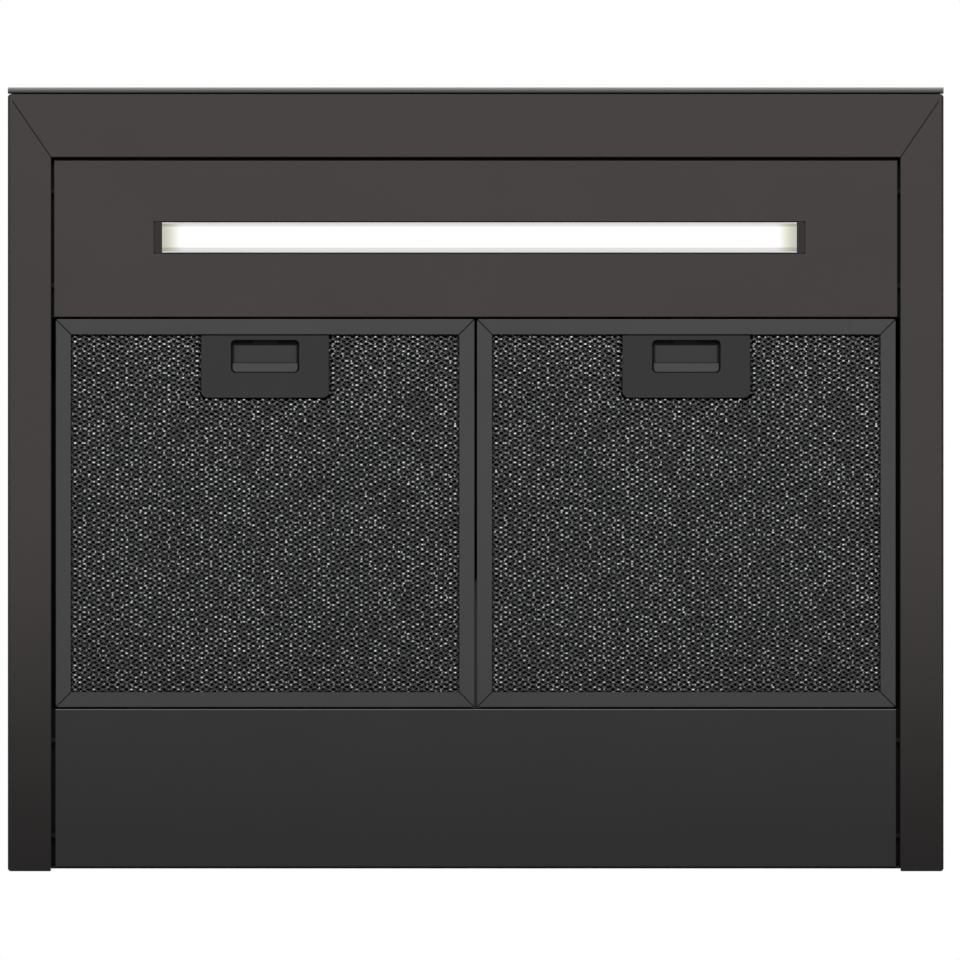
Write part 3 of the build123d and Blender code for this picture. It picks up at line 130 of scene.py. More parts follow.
def greatest(tree, *values):
    """The greatest of the values."""
    return chained(tree, "MAXIMUM", values)


def difference(tree, value, taken):
    """A value less another one."""
    return math_node(tree, "SUBTRACT", value, taken)


def inverse(tree, value):
    """1 less the value."""
    return difference(tree, 1.0, value)


def size_of(tree, value):
    """A value without its sign."""
    return math_node(tree, "ABSOLUTE", value)


def distance(tree, value, middle):
    """How far a value is from a middle one."""
    return size_of(tree, difference(tree, value, middle))


def between(tree, share, first, second):
    """A number that passes from a first to a second one as a share grows from 0 to 1."""
    return math_node(tree, "MULTIPLY_ADD", share, second - first, first)


def smooth_step(tree, value, start, end):
    """0 below start, 1 past end and a smooth way between."""
    inputs = {"Value": value, "From Min": start, "From Max": end}
    return add(tree, "ShaderNodeMapRange", inputs, interpolation_type="SMOOTHSTEP").outputs[0]


def mix_colour(tree, share, first, second):
    """Two colours mixed by a share; 6, 7 and output 2 are the node's colour sockets."""
    node = add(tree, "ShaderNodeMix", data_type="RGBA")
    for number, value in ((0, share), (6, first), (7, second)):
        if isinstance(value, bpy.types.NodeSocket):
            tree.links.new(value, node.inputs[number])
        else:
            node.inputs[number].default_value = value
    return node.outputs[2]


def opaque(colour):
    """A colour of three numbers with full opacity."""
    return (*colour, 1.0)


def vector_math(tree, operation, inputs):
    """A sum on vectors or colours."""
    return add(tree, "ShaderNodeVectorMath", inputs, operation=operation).outputs


def scaled(tree, vector, factor):
    """A vector or colour times a number."""
    return vector_math(tree, "SCALE", {0: vector, "Scale": factor})[0]


def combined(tree, x=0.0, y=0.0, z=0.0):
    """A vector of three parts."""
    return add(tree, "ShaderNodeCombineXYZ", {"X": x, "Y": y, "Z": z}).outputs[0]


def parts_of(tree, vector):
    """X, Y and Z of a vector."""
    return add(tree, "ShaderNodeSeparateXYZ", {0: vector}).outputs


def object_place(tree):
    """The place on the object."""
    return add(tree, "ShaderNodeTexCoord").outputs["Object"]


def surface_normal(tree):
    """The direction in which the surface looks."""
    return add(tree, "ShaderNodeNewGeometry").outputs["Normal"]


# Light: a dim grey sky, one soft spot from the room side below and two lamps above

sky_level = 0.17
spot_place = (0.0, -2.925, -3.435)
spot_target = (0.0, -0.45, -0.03)
spot_cone = math.radians(13.0)
spot_blend = 0.83
spot_radius = 0.15
spot_widening = (6.0, 1.0, 1.0)
spot_power = 830.0
lamp_target = (0.0, -0.2, 0.2)
lamp_size = 1.6
lamps = (
    # name, place, power
    ("lamp_front", (-1.5, -2.4, 1.9), 75.0),
    ("lamp_rear", (1.7, 2.3, 1.7), 60.0),
)


def build_sky():
    """Dim grey light from all around, with a plain white backdrop for what is seen or mirrored."""
    world = bpy.data.worlds.new("studio")
    world.use_nodes = True
    tree = world.node_tree
    tree.nodes.clear()
    rays = add(tree, "ShaderNodeLightPath").outputs
    seen = greatest(
        tree, rays["Is Camera Ray"], rays["Is Glossy Ray"], rays["Is Transmission Ray"])
    sky = add(tree, "ShaderNodeBackground", {"Color": opaque(white), "Strength": sky_level})
    backdrop = add(tree, "ShaderNodeBackground", {"Color": opaque(white), "Strength": 1.0})
    mixed = add(tree, "ShaderNodeMixShader", {0: seen, 1: sky.outputs[0], 2: backdrop.outputs[0]})
    add(tree, "ShaderNodeOutputWorld", {0: mixed.outputs[0]})
    bpy.context.scene.world = world


def build_light(name, kind, place, target, power):
    """A light that points at a target and isn't seen itself."""
    data = bpy.data.lights.new(name, kind)
    data.energy = power
    light = bpy.data.objects.new(name, data)
    light.location = place
    light.rotation_euler = (Vector(target) - Vector(place)).to_track_quat("-Z", "Y").to_euler()
    light.visible_camera = False
    bpy.context.scene.collection.objects.link(light)
    return light


build_sky()

# The spot is widened along X, so that it lights the whole width evenly
spot = build_light("spot_below", "SPOT", spot_place, spot_target, spot_power)
spot.data.spot_size = spot_cone
spot.data.spot_blend = spot_blend
spot.data.shadow_soft_size = spot_radius
spot.scale = spot_widening
spot.visible_glossy = False

for lamp_name, lamp_place, lamp_power in lamps:
    lamp = build_light(lamp_name, "AREA", lamp_place, lamp_target, lamp_power)
    lamp.data.size = lamp_size


# Floor: pale, below the filters' swing, and out of the way of every ray but the camera's

floor_drop = 0.205
floor_radius = 30.0
floor_sides = 64
floor_colour = (0.80, 0.80, 0.79)
fade_start = 0.9
fade_end = 3.2


def floor_material():
    """Pale matt floor that turns plain white far from the object and isn't seen from below."""
    material = bpy.data.materials.new("pale_floor")
    material.use_nodes = True
    tree = material.node_tree
    tree.nodes.clear()
    reach = vector_math(tree, "LENGTH", {0: object_place(tree)})["Value"]
    far = smooth_step(tree, reach, fade_start, fade_end)
    near = add(tree, "ShaderNodeBsdfDiffuse", {"Color": opaque(floor_colour)})
    plain = add(tree, "ShaderNodeEmission", {"Color": opaque(white), "Strength": 1.0})
    front = add(tree, "ShaderNodeMixShader", {0: far, 1: near.outputs[0], 2: plain.outputs[0]})
    clear = add(tree, "ShaderNodeBsdfTransparent")
    back = add(tree, "ShaderNodeNewGeometry").outputs["Backfacing"]
    whole = add(tree, "ShaderNodeMixShader", {0: back, 1: front.outputs[0], 2: clear.outputs[0]})
    add(tree, "ShaderNodeOutputMaterial", {0: whole.outputs[0]})
    return material


floor_mesh = bpy.data.meshes.new("floor")
floor_shape = bmesh.new()
bmesh.ops.create_circle(floor_shape, cap_ends=True, radius=floor_radius, segments=floor_sides)
floor_shape.to_mesh(floor_mesh)
floor_shape.free()
floor_mesh.materials.append(floor_material())
floor = bpy.data.objects.new("floor", floor_mesh)
floor.location = (middle_x, middle_y, -floor_drop)
for kind_of_ray in ("diffuse", "glossy", "transmission", "shadow"):
    setattr(floor, f"visible_{kind_of_ray}", False)
bpy.context.scene.collection.objects.link(floor)


# Shader groups

noise_middle = 0.5
fine_detail = 3.0
patch_detail = 4.0
bevel_samples = 4
edge_turn = (0.02, 0.20)  # 1 less the cosine between the rounded and the flat surface
edge_breaks = (0.30, 0.62)
dust_facing = (0.6, 0.98)  # cosine between the way the surface looks and straight up
dust_scale = 45.0
dust_detail = 6.0
dust_breaks = (0.35, 0.75)
dust_colour = (0.36, 0.34, 0.31)


def shader_group(name, inputs, outputs):
    """An empty group with its sockets; inputs and outputs are lists of a name and a kind."""
    group = bpy.data.node_groups.new(name, "ShaderNodeTree")
    for direction, sockets in (("INPUT", inputs), ("OUTPUT", outputs)):
        for socket, kind in sockets:
            group.interface.new_socket(
                socket, in_out=direction, socket_type=f"NodeSocket{kind}")
    given = group.nodes.new("NodeGroupInput").outputs
    return group, given, group.nodes.new("NodeGroupOutput").inputs


def noise(tree, place, scale, detail):
    """Soft noise between 0 and 1."""
    inputs = {"Vector": place, "Scale": scale, "Detail": detail}
    return add(tree, "ShaderNodeTexNoise", inputs).outputs[0]


def build_surface_grain():
    """Colour and roughness that vary over patches and grains, and the grain's bump."""
    group, given, result = shader_group(
        "surface grain",
        [("Colour", "Color"), ("Colour spread", "Float"), ("Roughness", "Float"),
         ("Roughness spread", "Float"), ("Grain size", "Float"), ("Grain depth", "Float"),
         ("Patch size", "Float"), ("Stretch", "Vector")],
        [("Colour", "Color"), ("Roughness", "Float"), ("Normal", "Vector")],
    )
    place = vector_math(group, "MULTIPLY", {0: object_place(group), 1: given["Stretch"]})[0]
    fine_scale = math_node(group, "DIVIDE", 1.0, given["Grain size"])
    patch_scale = math_node(group, "DIVIDE", 1.0, given["Patch size"])
    fine = noise(group, place, fine_scale, fine_detail)
    patch = noise(group, place, patch_scale, patch_detail)
    both = math_node(group, "ADD", difference(group, fine, noise_middle),
                     difference(group, patch, noise_middle))
    swing = math_node(group, "MULTIPLY_ADD", both, given["Colour spread"], 1.0)
    rough = math_node(group, "MULTIPLY_ADD", both, given["Roughness spread"], given["Roughness"],
                      clamp=True)
    bump = add(group, "ShaderNodeBump", {"Height": fine, "Distance": given["Grain depth"]})
    group.links.new(scaled(group, given["Colour"], swing), result["Colour"])
    group.links.new(rough, result["Roughness"])
    group.links.new(bump.outputs[0], result["Normal"])
    return group


def build_edge_wear_and_highlight():
    """A mask that is 1 along sharp edges, broken up by noise: edges rubbed light, and partly a
    painted highlight.
    """
    group, given, result = shader_group(
        "edge wear",
        [("Radius", "Float"), ("Amount", "Float"), ("Break size", "Float")],
        [("Mask", "Float")],
    )
    bevel = add(group, "ShaderNodeBevel", {"Radius": given["Radius"]}, samples=bevel_samples)
    flat = add(group, "ShaderNodeNewGeometry").outputs["True Normal"]
    cosine = vector_math(group, "DOT_PRODUCT", {0: bevel.outputs[0], 1: flat})["Value"]
    edge = smooth_step(group, inverse(group, cosine), *edge_turn)
    scale = math_node(group, "DIVIDE", 1.0, given["Break size"])
    breaks = smooth_step(group, noise(group, object_place(group), scale, fine_detail), *edge_breaks)
    mask = math_node(group, "MULTIPLY", product(group, edge, breaks), given["Amount"], clamp=True)
    group.links.new(mask, result["Mask"])
    return group


def build_dust():
    """A mask of dust that settles on faces that look up."""
    group, given, result = shader_group("dust", [("Amount", "Float")], [("Mask", "Float")])
    upward = smooth_step(group, parts_of(group, surface_normal(group))["Z"], *dust_facing)
    breaks = smooth_step(
        group, noise(group, object_place(group), dust_scale, dust_detail), *dust_breaks)
    mask = math_node(group, "MULTIPLY", product(group, upward, breaks), given["Amount"], clamp=True)
    group.links.new(mask, result["Mask"])
    return group


surface_grain = build_surface_grain()
edge_wear_and_highlight = build_edge_wear_and_highlight()
dust = build_dust()


# Materials. Grain, depth, patch, and the radius and breaks of the lighter edges are in millimetres;
# the lighter edges are partly rubbed paint and partly painted highlight.

no_stretch = (1.0, 1.0, 1.0)
along_x = (0.05, 1.0, 1.0)
along_z = (1.0, 1.0, 0.05)
# Lighter edges: partly rubbed paint, partly a painted highlight along them
edge_radius = 0.9
usual_wear_and_highlight = 0.35
usual_dust = 0.10
edge_break_size = 9.0

steel_colour = (0.0495, 0.0448, 0.0435)
steel_edge = (0.075, 0.072, 0.070)
# Painted shade on folds, towards the wall and on the ridge's front face, and the dark of the
# canopy's mitre seams
shade_and_seam_dark = (0.006, 0.006, 0.006)
steel_dust = 0.05
steel_wear_and_highlight = 0.2
steel_specular = 0.10
steel_grain = {"roughness": 0.55, "grain": 1.1, "depth": 0.010}
# Painted shade: black where shade falls in slots, pockets, gaps and the filters' openings
shade_black = (0.003, 0.003, 0.003)

flat_facing = (0.25, 0.97)  # cosines to straight down, from a fold to a flat face
fold_facing = (0.2, 0.5)  # cosines to the room side
fold_heights = (0.8 * mm, 1.6 * mm)  # where a fold ends above the lowest face
# Painted shade: black in the slots between these heights above a panel's face
slot_heights = (1.5 * mm, 4.0 * mm)
# Painted shade: the rear panel, of the same paint as the light panel, darker as it gets less light
rear_panel_shaded_colour = (0.0352, 0.0350, 0.0354)
# Painted highlight on the rear panel's front fold
rear_fold_highlight = (0.165, 0.162, 0.162)

side_flange = 27.5 * mm
front_flange = 40.2 * mm
canopy_mitre = 0.75
canopy_fold_width = 1.9 * mm
# Painted shade: the flanges' down faces darker towards the wall
flange_wall_shade = 0.65
flange_wall_shade_places = (-240.0 * mm, 30.0 * mm)
# Painted shade: black inside the canopy, high up on faces that look down
inside_facing = (0.5, 0.9)
inside_heights = (12.0 * mm, 20.0 * mm)
# Painted shade on the back's down-facing edge
back_edge_facing = (0.3, 0.8)

mitre_dark = (0.003, 0.003, 0.003)
mitre_half = 0.26 * mm
mitre_blur = 0.22 * mm
mitre_start = 3.0 * mm

frame_colour = (0.052, 0.052, 0.053)
frame_edge = (0.070, 0.070, 0.070)
frame_border = 9.6 * mm
frame_face_heights = (0.6 * mm, 0.9 * mm)

latch_colour = (0.032, 0.032, 0.032)
latch_edge = (0.05, 0.05, 0.05)
latch_edge_radius = 0.6
latch_depth = 40.1 * mm
# Painted shade on the housing's front fold and, above these heights, on the pocket's walls
latch_fold_places = (0.1 * mm, 0.7 * mm)
pocket_heights = (0.5 * mm, 1.2 * mm)
# Painted shadow on the slider's plate near the pocket's walls
pocket_half = 21.95 * mm
pocket_reach = 33.7 * mm
pocket_blur = 0.4 * mm
pocket_shade = (3.0 * mm, 1.2 * mm)  # before the side walls of the pocket
plate_colour = (0.038, 0.038, 0.038)
# Painted light: the grip ridge lighter as it faces the light
ridge_lit_colour = (0.060, 0.060, 0.062)
ridge_facing = (0.3, 0.7)
ridge_heights = (0.6 * mm, 1.6 * mm)

metal_lighter = 1.35
metal_edge_radius = 0.5
metal_wear_and_highlight = 0.30
metal_dust = 0.06

cover_colour = (0.05, 0.05, 0.05)
cover_white = (1.0, 1.0, 0.985)
cover_warm = (1.0, 0.985, 0.80)
core_half = 6.7 * mm
core_blur = 0.3 * mm
core_shift = 0.3 * mm
core_level = 1.03
band_level = 0.70
end_level = 0.50
end_fade = 15.0 * mm

glass_colour = (0.010, 0.011, 0.011)
glass_tint = (0.96, 1.0, 0.92)
glass_least = 0.014
glass_rise = 0.26
glass_fade = 1.6
glass_facing = (0.80, 0.97)

strand_colour = (0.068, 0.072, 0.070)
# Painted glints: bonds lighter by chance in their colour
bond_least = 0.12
bond_spread = 0.97
glint_power = 3.0
# Painted shade on the mesh beside the frame's borders, down to this share
shaded_least = 0.1
side_shade = (0.2 * mm, 1.3 * mm)  # beside the frame's borders
front_shade = (0.8 * mm, 2.0 * mm)
rear_shade = (0.1 * mm, 0.8 * mm)


def new_material(name):
    """A material with a Principled shader, and its tree and shader."""
    material = bpy.data.materials.new(name)
    material.use_nodes = True
    tree = material.node_tree
    tree.nodes.clear()
    shader = add(tree, "ShaderNodeBsdfPrincipled")
    add(tree, "ShaderNodeOutputMaterial", {0: shader.outputs[0]})
    return material, tree, shader


def grained(tree, shader, colour, roughness, grain, depth, spread=0.16, rough_spread=0.16,
            patch=70.0, stretch=no_stretch):
    """The surface grain group, wired to the shader's roughness and normal; it gives the colour."""
    outputs = add(tree, "ShaderNodeGroup", {
        "Colour": opaque(colour),
        "Colour spread": spread,
        "Roughness": roughness,
        "Roughness spread": rough_spread,
        "Grain size": grain * mm,
        "Grain depth": depth * mm,
        "Patch size": patch * mm,
        "Stretch": stretch,
    }, node_tree=surface_grain).outputs
    tree.links.new(outputs["Roughness"], shader.inputs["Roughness"])
    tree.links.new(outputs["Normal"], shader.inputs["Normal"])
    return outputs["Colour"]


def worn_and_highlit(tree, colour, radius, amount, edge_colour):
    """A colour that turns lighter along the edges, where rubbed and as a painted highlight."""
    inputs = {"Radius": radius * mm, "Amount": amount, "Break size": edge_break_size * mm}
    mask = add(tree, "ShaderNodeGroup", inputs, node_tree=edge_wear_and_highlight).outputs["Mask"]
    return mix_colour(tree, mask, colour, opaque(edge_colour))


def dusty(tree, colour, amount):
    """A colour with dust on the faces that look up."""
    mask = add(tree, "ShaderNodeGroup", {"Amount": amount}, node_tree=dust).outputs["Mask"]
    return mix_colour(tree, mask, colour, opaque(dust_colour))


def coat(tree, shader, colour, specular):
    """Give the shader its final colour and specular level."""
    tree.links.new(colour, shader.inputs["Base Color"])
    shader.inputs["Specular IOR Level"].default_value = specular


def facing(tree, axis, start, end):
    """A mask of what looks against an axis; start and end are cosines."""
    against = product(tree, parts_of(tree, surface_normal(tree))[axis], -1.0)
    return smooth_step(tree, against, start, end)


def higher(tree, face_z, start, end):
    """A mask of what lies above a height; start and end are counted from it."""
    above = parts_of(tree, object_place(tree))["Z"]
    return smooth_step(tree, above, face_z + start, face_z + end)


def mitre_line(tree, from_side, from_end, side_width, end_width):
    """A mask of the thin line where two mitred flanges meet, from the ways to their outer edges."""
    skew = difference(tree, product(tree, from_side, end_width),
                      product(tree, from_end, side_width))
    apart = math_node(tree, "DIVIDE", size_of(tree, skew), math.hypot(side_width, end_width))
    near = inverse(tree, smooth_step(tree, apart, mitre_half, mitre_half + mitre_blur))
    on_side = math_node(tree, "LESS_THAN", from_side, side_width + mitre_half)
    on_end = math_node(tree, "LESS_THAN", from_end, end_width + mitre_half)
    return product(tree, near, on_side, on_end)


def coated_material(name, colour, roughness, grain, depth, edge, specular, wear_and_highlight=usual_wear_and_highlight,
                    dirt=usual_dust, radius=edge_radius):
    """A coated or moulded surface: grain, patches, lighter edges, rubbed and partly painted
    highlight, and a little dust.
    """
    material, tree, shader = new_material(name)
    plain = grained(tree, shader, colour, roughness, grain, depth)
    coat(tree, shader, dusty(tree, worn_and_highlit(tree, plain, radius, wear_and_highlight, edge), dirt), specular)
    return material


def metal_material(name, colour, roughness, stretch):
    """Bare or plated metal with grain drawn out along one direction."""
    material, tree, shader = new_material(name)
    plain = grained(tree, shader, colour, roughness, grain=0.5, depth=0.004, spread=0.22,
                    rough_spread=0.30, patch=45.0, stretch=stretch)
    lighter = tuple(min(1.0, part * metal_lighter) for part in colour)
    # Lighter edges: partly rubbed metal, partly a painted highlight
    edged = worn_and_highlit(tree, plain, metal_edge_radius, metal_wear_and_highlight, lighter)
    tree.links.new(dusty(tree, edged, metal_dust), shader.inputs["Base Color"])
    shader.inputs["Metallic"].default_value = 1.0
    return material


def panel_steel_material(panel, colour, front_fold):
    """Coated steel of a panel: painted shade on the folds and in the slots, and the front fold in a
    given colour, a painted highlight on the rear panel and painted shade on the light panel.
    """
    material, tree, shader = new_material(f"{panel}_steel")
    face_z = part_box(panel)[0].z
    low_part = inverse(tree, higher(tree, face_z, *fold_heights))
    # Painted shade on the folds that turn away from straight down, near the lowest face
    turned = product(tree, inverse(tree, facing(tree, "Z", *flat_facing)), low_part)
    in_front = product(tree, facing(tree, "Y", *fold_facing), low_part)
    final = grained(tree, shader, colour, **steel_grain)
    final = mix_colour(tree, turned, final, opaque(shade_and_seam_dark))
    # Front fold in the given colour: painted highlight on the rear panel, painted shade on the
    # light panel
    final = mix_colour(tree, in_front, final, opaque(front_fold))
    # Painted shade: black in the slots, above the panel's face
    final = mix_colour(tree, higher(tree, face_z, *slot_heights), final, opaque(shade_black))
    coat(tree, shader, final, steel_specular)
    return material


def canopy_steel_material():
    """The canopy's coated steel: painted shade on the folds, the inside, and the flanges darkening
    towards the wall; dark mitre seams; edges lighter where rubbed and as a painted highlight.
    """
    material, tree, shader = new_material("canopy_steel")
    corner, far_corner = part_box("canopy_shell")
    across, along, _ = parts_of(tree, object_place(tree))
    from_side = difference(tree, far_corner.x, size_of(tree, across))
    from_front = difference(tree, along, corner.y)
    low_part = inverse(tree, higher(tree, corner.z, *fold_heights))
    # Painted shade: down faces of the flanges darker towards the wall
    near_wall = smooth_step(tree, along, *flange_wall_shade_places)
    wall_shade = product(tree, facing(tree, "Z", *flat_facing), near_wall, flange_wall_shade)
    # Painted shade along the rounded folds at the side edges, near the rim
    past_fold = smooth_step(tree, from_side, 0.0, canopy_fold_width)
    folds = product(tree, inverse(tree, past_fold), low_part)
    line = mitre_line(tree, from_side, from_front, side_flange, front_flange)
    past_start = math_node(tree, "GREATER_THAN", from_side, mitre_start)
    mitre = product(tree, line, low_part, past_start, canopy_mitre)
    # Painted shade: black on the inside faces that look down, high in the canopy
    inside = product(tree, higher(tree, corner.z, *inside_heights),
                     facing(tree, "Z", *inside_facing))
    final = grained(tree, shader, steel_colour, **steel_grain)
    final = worn_and_highlit(tree, final, edge_radius, steel_wear_and_highlight, steel_edge)
    final = dusty(tree, final, steel_dust)
    final = mix_colour(tree, greatest(tree, wall_shade, folds, mitre), final, opaque(shade_and_seam_dark))
    final = mix_colour(tree, inside, final, opaque(shade_black))
    coat(tree, shader, final, steel_specular)
    return material


def back_steel_material():
    """The rear wall's coated steel, with painted shade: black on the edge that looks down into the
    gap at the wall.
    """
    material, tree, shader = new_material("back_steel")
    final = dusty(tree, grained(tree, shader, steel_colour, **steel_grain), steel_dust)
    # Painted shade: black on the edge that looks down into the gap
    edge = facing(tree, "Z", *back_edge_facing)
    coat(tree, shader, mix_colour(tree, edge, final, opaque(shade_black)), steel_specular)
    return material


def from_frame_edges(tree):
    """How far a place in either filter is from the side, front and rear edges of its frame."""
    corner, far_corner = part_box("filter_frame_right")
    centre_x = (corner.x + far_corner.x) / 2
    half_width = (far_corner.x - corner.x) / 2
    across, along, _ = parts_of(tree, object_place(tree))
    from_middle = distance(tree, size_of(tree, across), centre_x)
    return (
        difference(tree, half_width, from_middle),
        difference(tree, along, corner.y),
        difference(tree, far_corner.y, along),
    )


def frame_material():
    """Filter frames: satin black channels with a dark line along each mitre, and edges lighter
    where rubbed and as a painted highlight.
    """
    material, tree, shader = new_material("filter_frame")
    from_side, from_front, from_rear = from_frame_edges(tree)
    lines = [mitre_line(tree, from_side, from_end, frame_border, frame_border)
             for from_end in (from_front, from_rear)]
    face_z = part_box("filter_frame_right")[0].z
    on_face = inverse(tree, higher(tree, face_z, *frame_face_heights))
    final = grained(tree, shader, frame_colour, roughness=0.48, grain=0.8, depth=0.006, patch=50.0)
    final = dusty(tree, worn_and_highlit(tree, final, edge_radius, usual_wear_and_highlight, frame_edge), usual_dust)
    final = mix_colour(
        tree, product(tree, greatest(tree, *lines), on_face), final, opaque(mitre_dark))
    coat(tree, shader, final, specular=0.15)
    return material


def latch_housing_material():
    """Latch body: moulded black plastic, with painted shade on its front fold and the pocket's
    walls, and edges lighter where rubbed and as a painted highlight.
    """
    material, tree, shader = new_material("latch_housing")
    corner, far_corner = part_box("latch_housing_left")
    along = parts_of(tree, object_place(tree))["Y"]
    front = far_corner.y - latch_depth
    fold_start, fold_end = latch_fold_places
    fold = inverse(tree, smooth_step(tree, along, front + fold_start, front + fold_end))
    # Painted shade: black on the pocket's walls and the front fold
    dark = greatest(tree, higher(tree, corner.z, *pocket_heights), fold)
    final = grained(tree, shader, latch_colour, roughness=0.50, grain=0.35, depth=0.010)
    final = worn_and_highlit(tree, final, latch_edge_radius, usual_wear_and_highlight, latch_edge)
    coat(tree, shader, mix_colour(tree, dark, final, opaque(shade_black)), specular=0.10)
    return material


def latch_slider_material():
    """Latch slider: a plate with painted shadow beside and before the pocket's walls, and a grip
    ridge painted lighter with painted shade on its front face.
    """
    material, tree, shader = new_material("latch_slider")
    corner, far_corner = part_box("latch_slider_right")
    centre_x = (corner.x + far_corner.x) / 2
    across, along, _ = parts_of(tree, object_place(tree))
    from_middle = distance(tree, size_of(tree, across), centre_x)
    # Painted shadow: black on the plate beside and before the pocket's walls
    shade_start, shade_end = pocket_shade
    beside = smooth_step(tree, from_middle, pocket_half - shade_start, pocket_half - shade_end)
    wall_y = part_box("latch_housing_right")[1].y - pocket_reach
    front = inverse(tree, smooth_step(tree, along, wall_y - pocket_blur, wall_y + pocket_blur))
    plate = grained(tree, shader, plate_colour, roughness=0.48, grain=0.35, depth=0.010,
                    spread=0.12, rough_spread=0.14, patch=60.0)
    plate = mix_colour(tree, greatest(tree, beside, front), plate, opaque(shade_black))
    # Painted light on the ridge, and painted shade on its front face
    forward = facing(tree, "Y", *ridge_facing)
    ridge = mix_colour(tree, forward, opaque(ridge_lit_colour), opaque(shade_and_seam_dark))
    on_plate = higher(tree, corner.z, *ridge_heights)
    coat(tree, shader, mix_colour(tree, on_plate, ridge, plate), specular=0.12)
    return material


def lamp_cover_material():
    """Opal cover: a plain white core, dimmer bands beside it and warm dim ends."""
    material, tree, shader = new_material("lamp_cover")
    corner, far_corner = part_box("led_diffuser")
    centre = (corner + far_corner) / 2
    half_length = (far_corner.x - corner.x) / 2
    across, along, _ = parts_of(tree, object_place(tree))
    from_middle = distance(tree, across, centre.x)
    from_core = distance(tree, along, centre.y - core_shift)
    past_core = smooth_step(tree, from_core, core_half - core_blur, core_half + core_blur)
    past_end = smooth_step(tree, from_middle, half_length - end_fade, half_length)
    level = product(tree, between(tree, past_core, core_level, band_level),
                    between(tree, past_end, 1.0, end_level))
    glow = mix_colour(tree, past_end, opaque(cover_white), opaque(cover_warm))
    plain = grained(tree, shader, cover_colour, roughness=0.35, grain=2.0, depth=0.002,
                    spread=0.05, rough_spread=0.05, patch=30.0)
    coat(tree, shader, plain, specular=0.1)
    tree.links.new(scaled(tree, glow, level), shader.inputs["Emission Color"])
    shader.inputs["Emission Strength"].default_value = 1.0
    return material


def dark_glass_material():
    """Glass painted black behind: a dark face, and edges that pass from grey-green to black."""
    material, tree, shader = new_material("dark_glass")
    corner, far_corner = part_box("front_glass")
    along = parts_of(tree, object_place(tree))["Y"]
    to_front = add(tree, "ShaderNodeMapRange", {
        "Value": along, "From Min": far_corner.y, "From Max": corner.y}).outputs[0]
    rise = math_node(tree, "POWER", to_front, glass_fade)
    edge = scaled(tree, glass_tint, math_node(tree, "MULTIPLY_ADD", rise, glass_rise, glass_least))
    forward = size_of(tree, parts_of(tree, surface_normal(tree))["Y"])
    face = grained(tree, shader, glass_colour, roughness=0.06, grain=4.0, depth=0.0005,
                   spread=0.10, rough_spread=0.03, patch=80.0)
    final = mix_colour(tree, smooth_step(tree, forward, *glass_facing), edge, face)
    coat(tree, shader, final, specular=0.2)
    return material


def filter_mesh_material():
    """Painted expanded metal: dim strands, bonds with painted glints that stand in for catching the
    light, painted shade on the deeper layer and beside the frame.
    """
    material, tree, shader = new_material("filter_mesh")
    bond, glint, layer_shade = (add(tree, "ShaderNodeAttribute", attribute_name=name).outputs["Fac"]
                         for name in ("bond", "glint", "layer_shade"))
    # Painted glints on the bonds
    bright = math_node(tree, "MULTIPLY_ADD", math_node(tree, "POWER", glint, glint_power),
                       bond_spread, bond_least)
    final = mix_colour(tree, bond, opaque(strand_colour), bright)
    clear = product(tree, *(
        smooth_step(tree, from_edge, frame_border + start, frame_border + end)
        for from_edge, (start, end) in zip(from_frame_edges(tree),
                                           (side_shade, front_shade, rear_shade))))
    # Painted shade: the deeper layer darker, and the mesh darker beside the frame's borders
    final = scaled(tree, final, product(tree, layer_shade, between(tree, clear, shaded_least, 1.0)))
    grain = grained(tree, shader, white, roughness=0.42, grain=0.7, depth=0.003,
                    spread=0.30, rough_spread=0.10, patch=40.0)
    final = vector_math(tree, "MULTIPLY", {0: final, 1: grain})[0]
    coat(tree, shader, final, specular=0.35)
    return material


